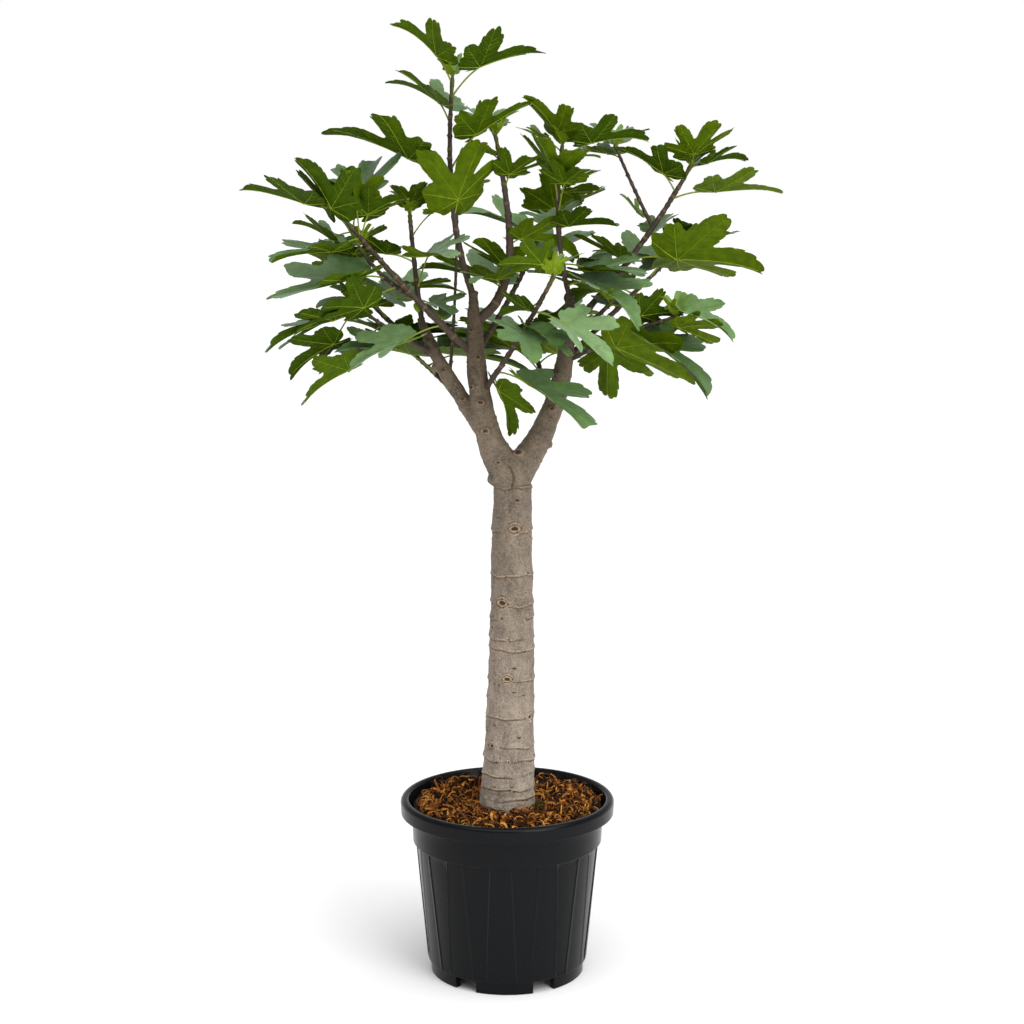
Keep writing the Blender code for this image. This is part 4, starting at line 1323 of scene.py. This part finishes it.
def rough_trunk(shape):
    """The trunk from just below the mix to inside its fork."""
    rise = np.arange(0.02, TRUNK_HEIGHTS[-1] - 0.004, 0.012)
    heights = np.concatenate([[-0.008, 0.0, 0.008], rise])
    points = [trunk_point(max(h, 0)) + Vector((0, 0, min(h, 0))) for h in heights]
    radii = np.array([between(max(h, 0), TRUNK_HEIGHTS, TRUNK_RADII) for h in heights])
    radii[-1] *= 0.85
    add_pipe(shape, points, radii, 40)


def rough_limbs(axes):
    """The trunk, its fork and the boughs as overlapping solids, with their collars, knots and stubs."""
    shape = bmesh.new()
    rough_trunk(shape)
    shares = np.linspace(0, 1, 40)
    for name, limb in BOUGHS.items():
        add_pipe(shape, eased(axes[name].points, shares), bough_radii(name, limb, shares), 28)
    for place, radii in LUMPS:
        swell(shape, place, radii)
    for place, out, size in knot_places(axes):
        swell(shape, place - out * size * 0.35, (size, size, size * 0.85))
    for name, share, heading, rise, length, thick in STUBS:
        foot = Vector(eased(axes[name].points, np.array([share]))[0])
        out = direction(heading, rise)
        start = foot + out * axes[name].radius_at(share) * 0.5
        points = [start, start + out * length * 0.6, start + out * length]
        add_pipe(shape, points, [thick * 1.25, thick, thick], 14)
    bmesh.ops.recalc_face_normals(shape, faces=shape.faces)
    return shape


def blended(shape):
    """One skin round all the solids, with the creases between them eased."""
    mesh = bpy.data.meshes.new("limbs")
    shape.to_mesh(mesh)
    shape.free()
    made = bpy.data.objects.new("limbs", mesh)
    bpy.context.scene.collection.objects.link(made)
    remesh = made.modifiers.new("skin", "REMESH")
    remesh.mode = "VOXEL"
    remesh.voxel_size = BARK_GRAIN
    ease = made.modifiers.new("ease", "SMOOTH")
    ease.factor = 0.5
    ease.iterations = 5
    graph = bpy.context.evaluated_depsgraph_get()
    skin = bpy.data.meshes.new_from_object(made.evaluated_get(graph))
    bpy.data.objects.remove(made)
    return skin


def read(mesh, what):
    """An array of the mesh's corner places, corner normals or face middles."""
    part, value = {
        "co": (mesh.vertices, "co"),
        "normal": (mesh.vertex_normals, "vector"),
        "center": (mesh.polygons, "center"),
    }[what]
    values = np.empty(len(part) * 3, np.float32)
    part.foreach_get(value, values)
    return values.reshape(-1, 3).astype(float)


def trunk_place(points):
    """(height above the mix, degrees from the front, offset from the axis) of points on the trunk."""
    height = points[:, 2] - GROUND
    middle = np.interp(height, TRUNK_HEIGHTS, TRUNK_DRIFT)
    across = points[:, 0] - middle
    turn = np.degrees(np.arctan2(across, -points[:, 1]))
    return height, turn, np.hypot(across, points[:, 1])


def knot_places(axes):
    """(point on the bark, direction out of it, size) of each knot of the boughs."""
    found = []
    for name, share, heading, rise, size in KNOTS:
        middle = Vector(eased(axes[name].points, np.array([share]))[0])
        out = direction(heading, rise)
        found.append((middle + out * axes[name].radius_at(share) * 1.04, out, size))
    return found


def ring_offsets(height, turn):
    """Height above the nearest leaf ring of the trunk, and how strong that ring is there."""
    best = np.full(len(height), 1.0)
    strength = np.zeros(len(height))
    wave = np.radians(turn)
    for number, (level, tilt, lean, force) in enumerate(RINGS):
        line = level + tilt * np.cos(wave - math.radians(lean))
        for waves, depth, phase in RING_WAVES:
            line = line + depth * np.sin(waves * wave + phase * number)
        off = height - line
        nearer = np.abs(off) < np.abs(best)
        best = np.where(nearer, off, best)
        strength = np.where(nearer, force * (0.70 + 0.30 * np.sin(2 * wave + 1.7 * number)), strength)
    return best, strength


def eye_place(height, turn, radius, eye):
    """(place, side) in a leaf scar: 0 at its middle and 1 at its lens-shaped edge, and above or below it."""
    level, angle, width, tall = eye
    across = (turn - angle + 180) % 360 - 180
    u = np.radians(across) * radius / width
    v = (height - level) / tall
    lens = np.abs(v) / np.maximum(1.02 - np.minimum(np.abs(u), 1) ** 2, 0.08)
    return np.where(np.abs(u) < 1.0, (lens**2.5 + np.abs(u) ** 2.5) ** 0.4, 9.0), v


def bark_relief(points):
    """How far the trunk's bark stands out at each point, and its look there."""
    height, turn, radius = trunk_place(points)
    low = (height < TRUNK_BARK) & (radius < TRUNK_REACH)
    off, force = ring_offsets(height, turn)
    ridge = RING_SWELL * bell(off, RING_SWELL_WIDTH) + RING_RIDGE * bell(off, RING_RIDGE_WIDTH)
    groove = RING_GROOVE * bell(off + RING_GROOVE_DROP, RING_RIDGE_WIDTH)
    out = np.where(low, force * (ridge - groove), 0)
    look = np.zeros(len(points), int)
    # One band is painted shade in the groove under the ring's ridge
    for kind, lowest, highest, least in RING_BANDS:
        look[low & (off > lowest) & (off < highest) & (force > least)] = kind
    for eye in EYES:
        edge, side = eye_place(height, turn, radius, eye)
        rim = EYE_RIM * bell(edge - 0.88, 0.26) - EYE_HOLLOW * bell(edge, 0.40)
        out = np.where(low & (edge < 1.5), np.maximum(rim, out * (edge - 1)), out)
        # The outermost zone is painted shade beside the rim, on the scar's upper side only
        for reach, kind in EYE_ZONES:
            look[low & (edge < reach) & ((kind != PAINTED_SHADE) | (side > 0))] = kind
    return out, look


def bough_rings(points, axes):
    """How far the faint rings across the boughs stand out at each point."""
    shares = np.linspace(0, 1, 120)
    out = np.zeros(len(points))
    nearest = np.full(len(points), 9.0)
    for number, (name, limb) in enumerate(BOUGHS.items()):
        line = eased(axes[name].points, shares)
        apart = np.linalg.norm(points[:, None] - line[None, :, :], axis=2)
        share = shares[apart.argmin(axis=1)]
        gap = apart.min(axis=1) - (limb.radius + (limb.end_radius - limb.radius) * share)
        mine = gap < nearest
        place = share * limb.length
        step = 0.034 + 0.008 * np.sin(place * 37 + number)
        off = (place + 0.0035 * np.sin(points[:, 0] * 170 + number)) % step - step / 2
        out = np.where(mine, BOUGH_RING * bell(off, BOUGH_RING_WIDTH), out)
        nearest = np.where(mine, gap, nearest)
    return out


def limb_relief(points, axes):
    """The same on the boughs: faint rings across them, and knots with a pale rim and a dark middle."""
    out = bough_rings(points, axes)
    look = np.zeros(len(points), int)
    for place, facing, size in knot_places(axes):
        apart = points - np.array(place)
        ahead = apart @ np.array(facing)
        aside = apart - ahead[:, None] * np.array(facing)
        edge = np.linalg.norm(aside * (1, 1, KNOT_FLAT), axis=1) / size
        here = (edge < 1.0) & (ahead > -size)
        dip = KNOT_RIM * bell(edge - 0.60, 0.16) - KNOT_HOLLOW * bell(edge, 0.28)
        out = np.where(here, dip, out)
        for reach, kind in KNOT_ZONES:
            look[here & (edge < reach)] = kind
    return out, look


def wide_noise(points, scale, seed):
    """Smooth noise at each point."""
    return np.array([noise.noise(Vector((*(p * scale),)) + Vector((seed, 0, 0))) for p in points])


def make_bark(axes):
    """One skin for the trunk and its boughs, with leaf rings, leaf scars, pores and a wrinkled fork."""
    skin = blended(rough_limbs(axes))
    points = read(skin, "co")
    trunk_out, _ = bark_relief(points)
    limb_out, _ = limb_relief(points, axes)
    out = np.where(points[:, 2] < GROUND + TRUNK_BARK, trunk_out, limb_out)
    for depth, scale, seed in BARK_WAVES:
        out = out + depth * wide_noise(points, scale, seed)
    out = out + fork_fold(points)
    points = points + read(skin, "normal") * out[:, None]
    skin.vertices.foreach_set("co", points.reshape(-1).astype(np.float32))
    paint_bark(skin, axes)
    Piece("bark", list(BARK_FINISHES), "bark", ["trunk", *BOUGHS]).dress(skin, 60)


def fork_fold(points):
    """The relief of the curved ridge of bark where the two boughs part, with the crease beside it."""
    x = points[:, 0] - CROTCH[0]
    z = points[:, 2] - CROTCH[1]
    off = x - 0.010 * np.sin((z + 0.05) * 60) + 0.004
    here = np.exp(-(((z + 0.022) / 0.026) ** 4)) * (points[:, 1] < 0.01)
    return here * (FOLD_RIDGE * bell(off, 0.0030) - FOLD_CREASE * bell(off + 0.006, 0.0028))


def pores(rule):
    """Small dark pores strewn over the trunk: height, degrees from the front, and size."""
    for _ in range(PORES):
        yield rule.uniform(0.01, FORK_HEIGHT), rule.uniform(-180, 180), rule.uniform(0.0009, 0.0016)


def paint_bark(skin, axes):
    """Gives each face of the skin its look by its place."""
    middles = read(skin, "center")
    height, turn, radius = trunk_place(middles)
    _, trunk_look = bark_relief(middles)
    _, limb_look = limb_relief(middles, axes)
    on_trunk = height < TRUNK_BARK
    look = np.where(on_trunk, trunk_look, limb_look)
    # The crease beside the fork's ridge is painted darker as painted shade, and brown where it is deepest
    fold = fork_fold(middles)
    look[fold < -0.0007] = PAINTED_SHADE
    look[fold < -0.0013] = BROWN
    for level, angle, size in pores(np.random.default_rng(SEED)):
        across = np.radians((turn - angle + 180) % 360 - 180) * radius
        apart = np.hypot(height - level, across * 0.4)
        look[on_trunk & (apart < size)] = DARK if size > 0.0013 else BROWN
    skin.polygons.foreach_set("material_index", look.astype(np.int32))


# Young shoots, stalks and buds

def shoot_line(name, axes):
    """A smooth line along the shoot from inside its parent to its tip, with its radii."""
    limb = SHOOTS[name]
    count = max(24, int(limb.length / 0.005))
    shares = np.linspace(0, 1, count)
    line = eased(axes[name].points, shares)
    radii = limb.radius + (limb.end_radius - limb.radius) * shares
    return shares, line, radii


def joints_of(name, placed, rule):
    """Shares of the shoot where a leaf grows or once grew."""
    grown = [leaf.share for leaf in placed[name]]
    length = SHOOTS[name].length
    spots = []
    place = 0.03 / length
    while place < 0.99:
        spots.append(place)
        place += rule.uniform(0.014, 0.026) / length * (1.3 - 0.6 * place)
    return grown, [spot for spot in spots if all(abs(spot - g) * length > 0.006 for g in grown)]


def bud(piece, foot, out, size, finish):
    """A short pointed bud."""
    shares = np.array([0, 0.25, 0.55, 0.85, 1.0])
    points = [np.array(foot) + np.array(out) * size * t for t in shares]
    piece.add_pipe(points, size * np.array([0.26, 0.34, 0.27, 0.11, 0.02]), 7, finish)


def shoot_rings(name, shares, radii, joints):
    """The shoot's radii all round it, swollen at each joint and not quite round."""
    length = SHOOTS[name].length
    knob = sum(JOINT_SWELL * bell((shares - spot) * length, JOINT_WIDTH) for spot in joints)
    swollen = radii + np.minimum(knob, JOINT_MOST)
    swollen[-1] *= 0.55
    turn = np.arange(SHOOT_ROUND) * math.tau / SHOOT_ROUND
    return swollen[:, None] * (1 + 0.05 * np.sin(3 * turn[None, :] + 40 * shares[:, None]))


def shoot_looks(name, shares, bare):
    """The look of each face of a shoot: 0 for old wood, 1 for young wood and 2 for a leaf scar."""
    place = np.repeat((shares[:-1] + shares[1:]) / 2, SHOOT_ROUND)
    scar = np.zeros(len(place), bool)
    for spot in bare:
        scar |= np.abs(place - spot) * SHOOTS[name].length < SCAR_HALF
    return np.where(place > YOUNG_SHARE, 1, np.where(scar, 2, 0))


def make_shoots(axes, placed):
    """The young brown wood, knobbly at each leaf joint, with its buds."""
    rule = random.Random(SEED + 3)
    nodes = [name + "_limb" for name in BARE_SHARES]
    piece = Piece("shoots", ["shoot_old", "shoot_young", "shoot_scar", "bud"], "shoot", nodes)
    for name in SHOOTS:
        shares, line, radii = shoot_line(name, axes)
        grown, bare = joints_of(name, placed, rule)
        corners, quads, ends = pipe(line, shoot_rings(name, shares, radii, grown + bare), SHOOT_ROUND)
        piece.add(corners, (quads, shoot_looks(name, shares, bare)), (ends, "shoot_young"))
        add_buds(piece, line, shares, radii, bare + grown, rule)
        add_tip(piece, line)
    piece.build(60)


def add_buds(piece, line, shares, radii, joints, rule):
    """A small bud at most of the shoot's joints."""
    along, side, up = frames_along(line)
    for spot in joints:
        if rule.random() < 0.35:
            continue
        i = int(np.abs(shares - spot).argmin())
        turn = rule.uniform(0, math.tau)
        out = side[i] * math.cos(turn) + up[i] * math.sin(turn)
        lean = out * 0.8 + along[i] * 0.6
        size = rule.uniform(0.0030, 0.0058)
        bud(piece, line[i] + out * radii[i] * 0.7, lean / np.linalg.norm(lean), size, "shoot_old")


def add_tip(piece, line):
    """The pointed green bud at the shoot's end."""
    out = line[-1] - line[-3]
    out = out / np.linalg.norm(out)
    bud(piece, line[-1] - out * 0.002, out, TIP_BUD, "bud")


def add_stalk(piece, leaf, axis):
    """The leaf's stalk, bowed, thicker where it leaves the shoot and where it meets the blade."""
    root, middle, foot = (np.array(p) for p in stalk_line(leaf, axis))
    midrib = np.array(leaf_frame(leaf)[0])
    t = np.linspace(0, 1, 10)[:, None]
    control = 2 * middle - (root + foot) / 2
    points = root * (1 - t) ** 2 + 2 * control * t * (1 - t) + foot * t**2
    points = np.concatenate([points, [foot + midrib * 0.004]])
    share = np.linspace(0, 1, 11)
    size = 0.75 + 0.25 * min(leaf.blade / 130, 1)
    radii = STALK_THICK * size * (1 + 0.65 * bell(share, 0.09) + 0.25 * share**6)
    piece.add_pipe(points, radii, 7, "stalk")


# Leaves

Lobe = namedtuple("Lobe", "angle length width")


def lobes_of(rule, young):
    """The lobes of one leaf: a middle one, two beside it and two low ones, with a small ear at each side."""
    plump = rule.uniform(0.84, 1.04)
    lobes = [Lobe(rule.uniform(-3, 3), 1.0, MIDDLE_LOBE * plump)]
    for side in (1, -1):
        for angles, lengths, width in SIDE_LOBES:
            angle = side * rule.uniform(*angles)
            length = rule.uniform(*lengths)
            lobes.append(Lobe(angle, length, width * plump * rule.uniform(0.9, 1.1)))
        lobes.append(Lobe(side * EAR_ANGLE, rule.uniform(*EAR_LENGTHS), EAR_WIDTH))
    if young:
        lobes = [lobe._replace(width=lobe.width * 0.8) for lobe in lobes]
    return sorted(lobes, key=lambda lobe: lobe.angle)


def lobe_reach(theta, lobe):
    """Distance from the blade's foot to the far edge of a lobe, along each direction, 0 where it misses. The
    lobe widens from its neck and ends bluntly."""
    along = np.linspace(1, 0.15, 120)
    outer = np.clip((along - LOBE_BELLY) / (1 - LOBE_BELLY), 0, 1)
    inner = np.clip((LOBE_BELLY - along) / LOBE_BELLY, 0, 1)
    half = lobe.width * np.where(along > LOBE_BELLY, (1 - outer**2.8) ** 0.55, 1 - LOBE_NECK * inner**1.6)
    turn = np.arctan2(half, along * lobe.length)
    reach = np.hypot(half, along * lobe.length)
    widest = int(turn.argmax())
    off = np.abs((theta - math.radians(lobe.angle) + math.pi) % math.tau - math.pi)
    return np.interp(off, turn[: widest + 1], reach[: widest + 1], right=0)


def leaf_edge(theta, lobes, body):
    """Distance from the foot to the leaf's edge along each direction, in blade lengths."""
    turn = np.abs((theta + math.pi) % math.tau - math.pi) / math.pi
    disc = body * (1 - 0.85 * np.clip((turn - 0.70) / 0.30, 0, 1) ** 1.5)
    reach = disc**10
    for lobe in lobes:
        reach = reach + lobe_reach(theta, lobe) ** 10
    return reach ** (1 / 10)


def leaf_outline(lobes, body, rule, points):
    """(angle, radius) pairs round the leaf, evenly spaced along its edge, with rounded teeth, one
    of them on each lobe's vein."""
    theta = np.linspace(-math.pi, math.pi, 1441)
    radius = leaf_edge(theta, lobes, body)
    x = radius * np.cos(theta)
    y = radius * np.sin(theta)
    run = np.concatenate([[0], np.cumsum(np.hypot(np.diff(x), np.diff(y)))])
    anchors = [-math.pi, *[math.radians(lobe.angle) for lobe in lobes], math.pi]
    stops = np.interp(anchors, theta, run)
    step = len(TOOTH)
    places = []
    for low, high in zip(stops, stops[1:]):
        count = 2 * step * max(1, round(points * (high - low) / run[-1] / step / 2))
        places.append(np.linspace(low, high, count, endpoint=False))
    places = np.concatenate(places)
    angle = np.interp(places, run, theta)
    radius = np.interp(places, run, radius)
    strengths = [rule.uniform(0.3, 1.5) for _ in places[::step]]
    teeth = np.tile(TOOTH, len(places) // step) * np.repeat(strengths, step)
    wave = sum(size * np.sin(count * angle + rule.uniform(0, 6)) for count, size in EDGE_WAVES)
    return angle, radius * (1 + wave) + teeth * np.clip(radius * 2.2 - 0.6, 0, 1)


Shape = namedtuple("Shape", "twist curl cup phase lobes lifts")


def shape_of_leaf(lobes, rule):
    """How one leaf's blade is bent."""
    lifts = [rule.uniform(-0.08, 0.16) for _ in lobes]
    twist = rule.uniform(-0.16, 0.16)
    curl = rule.uniform(0.0, 0.45)
    cup = rule.uniform(0.85, 1.15)
    return Shape(twist, curl, cup, rule.uniform(0, 6), [math.radians(lobe.angle) for lobe in lobes], lifts)


def blade_height(u, v, shape):
    """Height of the blade over its own plane, in blade lengths: folded along the midrib, arched to its tip,
    each lobe a shallow channel along its vein and bent its own way, and the edge wavy."""
    theta = np.arctan2(v, u)
    reach = np.hypot(u, v)
    fold = np.sqrt(v**2 + 0.0012) - 0.035
    off = np.abs((theta[..., None] - np.array(shape.lobes) + math.pi) % math.tau - math.pi)
    nearest = off.min(axis=-1)
    channel = 0.022 * (1 - np.cos(np.minimum(nearest / 0.42, 1) * math.pi)) * reach
    bend = (np.array(shape.lifts) * np.cos(np.minimum(off / 0.5, 1) * math.pi / 2) ** 2).sum(axis=-1)
    ripple = 0.026 * np.sin(theta * 13 + shape.phase) + 0.013 * np.sin(theta * 24 + 2 * shape.phase)
    return (
        FOLD * shape.cup * fold
        + ARCH * u * (1 - np.abs(u))
        + channel
        + bend * reach**2.4
        + ripple * reach**2.5
        + shape.twist * u * v
        - shape.curl * np.clip(reach - 0.6, 0, 1) ** 2
    )


class Blade:
    """A leaf's blade in space: where a point of its outline lies."""

    def __init__(self, leaf, foot, shape):
        midrib, left, upper = leaf_frame(leaf)
        self.foot = np.array(foot)
        self.size = leaf.blade / 1000
        self.axes = np.array([midrib, left])
        self.upper = np.array(upper)
        self.shape = shape

    def at(self, u, v, lift=0.0):
        """Points of the blade. u runs along the midrib and v to its left, in blade lengths. lift is in
        metres."""
        height = blade_height(u, v, self.shape) * self.size + lift
        flat = np.stack([u, v], -1) * self.size
        return self.foot + flat @ self.axes + np.asarray(height)[..., None] * self.upper


def blade_faces(count):
    """Triangles and quads of a blade's one side: a fan and rings at half the edge's number of corners, then
    rings with all of it."""
    half = count // 2
    inner = len(INNER_RINGS)
    ring = np.arange(half)
    after = (ring + 1) % half
    fan = np.stack([np.zeros(half, int), 1 + ring, 1 + after], -1)
    quads = grid_faces(inner, half) + 1
    low = 1 + (inner - 1) * half
    high = 1 + inner * half
    first = high + 2 * ring
    middle = first + 1
    last = high + (2 * ring + 2) % count
    step = [
        np.stack([low + ring, first, middle], -1),
        np.stack([low + ring, middle, low + after], -1),
        np.stack([low + after, middle, last], -1),
    ]
    outer = grid_faces(len(OUTER_RINGS), count) + high
    total = 1 + inner * half + len(OUTER_RINGS) * count
    return np.concatenate([fan, *step]), np.concatenate([quads[:, ::-1], outer[:, ::-1]]), total


def ring_values(edge):
    """The edge's values at every corner of a blade's one side: half of them on the inner rings."""
    return np.concatenate([[0], np.tile(edge[::2], len(INNER_RINGS)), np.tile(edge, len(OUTER_RINGS))])


def add_blade(piece, blade, outline, tint):
    """The blade as a closed thin solid: corners above and below, and a rim between them."""
    angle, radius = outline
    count = len(angle)
    triangles, quads, total = blade_faces(count)
    shares = np.concatenate([[0], np.repeat(INNER_RINGS, count // 2), np.repeat(OUTER_RINGS, count)])
    turn = ring_values(angle)
    reach = ring_values(radius) * shares
    u = reach * np.cos(turn)
    v = reach * np.sin(turn)
    thin = (1 - 0.55 * shares**2) * LEAF_THICK / 2
    last = total - count + np.arange(count)
    after = total - count + (np.arange(count) + 1) % count
    rim = np.stack([last, last + total, after + total, after], -1)
    corners = np.concatenate([blade.at(u, v, thin), blade.at(u, v, -thin)])
    piece.add(
        corners,
        (triangles, "top_" + tint),
        (triangles[:, ::-1] + total, "under_" + tint),
        (quads, "top_" + tint),
        (quads[:, ::-1] + total, "under_" + tint),
        (rim, "under_" + tint),
    )


def vein_lines(lobes, body, rule):
    """(u, v, first and last half width, whether it's a main one) of each vein: one to each lobe's tip, and
    side veins off it."""
    found = []
    for lobe in lobes:
        axis = math.radians(lobe.angle)
        tip = float(leaf_edge(np.array([axis]), lobes, body)[0]) * 0.94
        t = np.linspace(0, 1, 8)
        bow = axis + rule.uniform(-0.04, 0.04) * np.sin(math.pi * t)
        strength = 1.0 if abs(lobe.angle) < 20 else 0.80
        found.append((tip * t * np.cos(bow), tip * t * np.sin(bow), VEIN * strength, VEIN * 0.32, True))
        for share in SIDE_VEINS if tip > 0.45 else SIDE_VEINS[1::2]:
            for side in (1, -1):
                start = tip * (share + rule.uniform(-0.03, 0.03))
                vein = side_vein(axis, start, side, lobes, body, rule)
                if vein is not None:
                    found.append((*vein, VEIN * 0.42, VEIN * 0.20, False))
    return found


def side_vein(axis, start, side, lobes, body, rule):
    """A side vein, from its place on a lobe's vein until it nears the edge or the next lobe's ground."""
    t = np.linspace(0, 0.5, 26)
    lean = side * (math.radians(rule.uniform(44, 60)) - 0.9 * t)
    u = start * math.cos(axis) + np.cumsum(np.cos(axis + lean)) * 0.02
    v = start * math.sin(axis) + np.cumsum(np.sin(axis + lean)) * 0.02
    theta = np.arctan2(v, u)
    off = np.abs((theta - axis + math.pi) % math.tau - math.pi)
    free = (np.hypot(u, v) < 0.90 * leaf_edge(theta, lobes, body)) & (off < math.radians(24))
    count = len(free) if free.all() else int(free.argmin())
    if count < 4:
        return None
    pick = np.linspace(0, count - 1, min(count, 5)).astype(int)
    u = np.concatenate([[start * math.cos(axis)], u[pick]])
    v = np.concatenate([[start * math.sin(axis)], v[pick]])
    return u, v


def add_vein(piece, blade, u, v, first, last, main):
    """A fine ridge along the blade, proud of it on both sides and more so below."""
    along_u = np.gradient(u)
    along_v = np.gradient(v)
    length = np.hypot(along_u, along_v)
    half = np.linspace(first, last, len(u)) * (0.6 + 0.4 * blade.size / 0.13)
    wide = half / blade.size
    across_u = -along_v / length * wide
    across_v = along_u / length * wide
    top = LEAF_THICK / 2 + half * (0.35 if main else 0.12)
    low = -LEAF_THICK / 2 - half * 1.1
    rows = np.stack(
        [
            blade.at(u + across_u, v + across_v, 0.0),
            blade.at(u, v, top),
            blade.at(u - across_u, v - across_v, 0.0),
            blade.at(u, v, low),
        ],
        1,
    )
    kind = "vein_" if main else "side_"
    sides = [piece.finishes.index(kind + side) for side in ("top", "top", "under", "under")]
    looks = np.tile(sides, len(u) - 1)
    piece.add(rows, (grid_faces(len(u), 4), looks), (square_ends(len(u)), kind + "under"))


def add_leaf(piece, leaf, foot, rule, tint):
    """One leaf's blade with its veins. A young one has fewer."""
    young = leaf.blade < YOUNG_BLADE
    lobes = lobes_of(rule, young)
    body = rule.uniform(*BODY_SIZES)
    blade = Blade(leaf, foot, shape_of_leaf(lobes, rule))
    outline = leaf_outline(lobes, body, rule, EDGE_POINTS // 2 if young else EDGE_POINTS)
    add_blade(piece, blade, outline, tint)
    for vein in vein_lines(lobes, body, rule):
        if vein[-1] or not young:
            add_vein(piece, blade, *vein)


def tip_leaves(rule):
    """Small young leaves that stand round a shoot's bud."""
    heading = rule.uniform(0, 360)
    rows = []
    for k in range(2):
        size = rule.uniform(26, 44)
        turn = (heading + GOLDEN_ANGLE * k) % 360
        rows.append(Leaf(0.985, turn, 55, size * 0.45, rule.uniform(38, 60), size, 0))
    return rows


def make_leaves(axes, placed):
    """Every shoot's leaves and stalks, joined into a few pieces."""
    rule = random.Random(SEED + 11)
    looks = [side + tint for tint in (*TINT_SHARES, "young") for side in ("top_", "under_")]
    looks += ["vein_top", "vein_under", "side_top", "side_under", "stalk"]
    for number, names in enumerate(LEAF_PIECES, 1):
        piece = Piece(f"leaves_{number}", looks, "foliage", [name + "_foliage" for name in names])
        for name in names:
            for leaf in placed[name] + tip_leaves(rule):
                tint = rule.choices(list(TINT_SHARES), list(TINT_SHARES.values()))[0]
                tint = "young" if leaf.blade < YOUNG_BLADE else tint
                add_leaf(piece, leaf, stalk_line(leaf, axes[name])[-1], rule, tint)
                add_stalk(piece, leaf, axes[name])
        piece.build(60)


def make_fig(axes):
    """The small green fig low on the left upright shoot."""
    piece = Piece("fig", ["fig_skin", "stalk"], "foliage", [])
    root = np.array(axes["left_upright"].at(FIG_SHARE))
    out = np.array(direction(215, 58))
    t = np.linspace(0, 1, 14)
    points = root + out * (0.004 + FIG_LENGTH * t)[:, None]
    swelling = np.sin(math.pi * np.clip(t * 0.93 + 0.035, 0, 1) ** 1.35)
    piece.add_pipe(points, FIG_RADIUS * np.sqrt(np.clip(swelling, 0.02, 1)), 16, "fig_skin")
    piece.add_pipe([root, root + out * 0.004, root + out * 0.008], [0.0018, 0.0014, 0.0014], 8, "stalk")
    piece.build(60)


# Surroundings

def make_floor():
    """A wide white floor."""
    mesh = bpy.data.meshes.new("floor")
    low = -FLOOR_REACH
    high = FLOOR_REACH
    mesh.from_pydata([(low, low, 0), (high, low, 0), (high, high, 0), (low, high, 0)], [], [(0, 1, 2, 3)])
    floor = bpy.data.objects.new("floor", mesh)
    bpy.context.scene.collection.objects.link(floor)
    found, shader = shader_of("floor_white")
    shader.inputs["Base Color"].default_value = (FLOOR_WHITE, FLOOR_WHITE, FLOOR_WHITE, 1)
    shader.inputs["Roughness"].default_value = 0.9
    shader.inputs["Specular IOR Level"].default_value = 0.0
    mesh.materials.append(found)


def make_lamp(name, place, target, size, power):
    """A round lamp that faces the target."""
    data = bpy.data.lights.new(name, "AREA")
    data.shape = "DISK"
    data.size = size
    data.energy = power
    lamp = bpy.data.objects.new(name, data)
    lamp.location = place
    lamp.rotation_euler = (Vector(target) - Vector(place)).to_track_quat("-Z", "Y").to_euler()
    bpy.context.scene.collection.objects.link(lamp)


def make_sky():
    """Pale surroundings, brightest near the horizon."""
    world = bpy.data.worlds.new("studio")
    world.use_nodes = True
    tree = world.node_tree
    place = tree.nodes.new("ShaderNodeTexCoord")
    split = tree.nodes.new("ShaderNodeSeparateXYZ")
    tree.links.new(place.outputs["Generated"], split.inputs["Vector"])
    band = tree.nodes.new("ShaderNodeValToRGB")
    band.color_ramp.interpolation = "EASE"
    for element, (stop, value) in zip(band.color_ramp.elements, SKY_STOPS):
        element.position = stop
        element.color = (value, value, value, 1)
    tree.links.new(split.outputs["Z"], band.inputs["Fac"])
    tree.links.new(band.outputs["Color"], tree.nodes["Background"].inputs["Color"])
    bpy.context.scene.world = world


def make_studio():
    """The surroundings, a very soft light from above, and two wide lamps."""
    make_sky()
    scene = bpy.context.scene
    scene.view_settings.view_transform = "Standard"
    data = bpy.data.lights.new("overhead", "SUN")
    data.energy = OVERHEAD
    data.angle = math.radians(OVERHEAD_SPREAD)
    lamp = bpy.data.objects.new("overhead", data)
    lamp.rotation_euler = [math.radians(angle) for angle in OVERHEAD_TURN]
    scene.collection.objects.link(lamp)
    for row in LAMPS:
        make_lamp(*row)


def make_camera():
    """The photograph's view: a long lens a little above the crown, looking slightly down."""
    pitch = math.radians(CAMERA_PITCH)
    data = bpy.data.cameras.new("camera")
    data.lens = CAMERA_LENS
    data.sensor_width = 36
    camera = bpy.data.objects.new("camera", data)
    target = Vector(CAMERA_TARGET)
    camera.location = target + Vector((0, -math.cos(pitch), math.sin(pitch))) * CAMERA_DISTANCE
    camera.rotation_euler = (math.radians(90) - pitch, 0, 0)
    bpy.context.scene.collection.objects.link(camera)
    bpy.context.scene.camera = camera


def main():
    """Makes the surroundings and every piece."""
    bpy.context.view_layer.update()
    make_camera()
    make_studio()
    make_floor()
    make_finishes()
    axes = grow_axes()
    placed = place_leaves(axes)
    make_pot()
    make_soil()
    make_bark(axes)
    make_shoots(axes, placed)
    make_leaves(axes, placed)
    make_fig(axes)
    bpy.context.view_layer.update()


main()
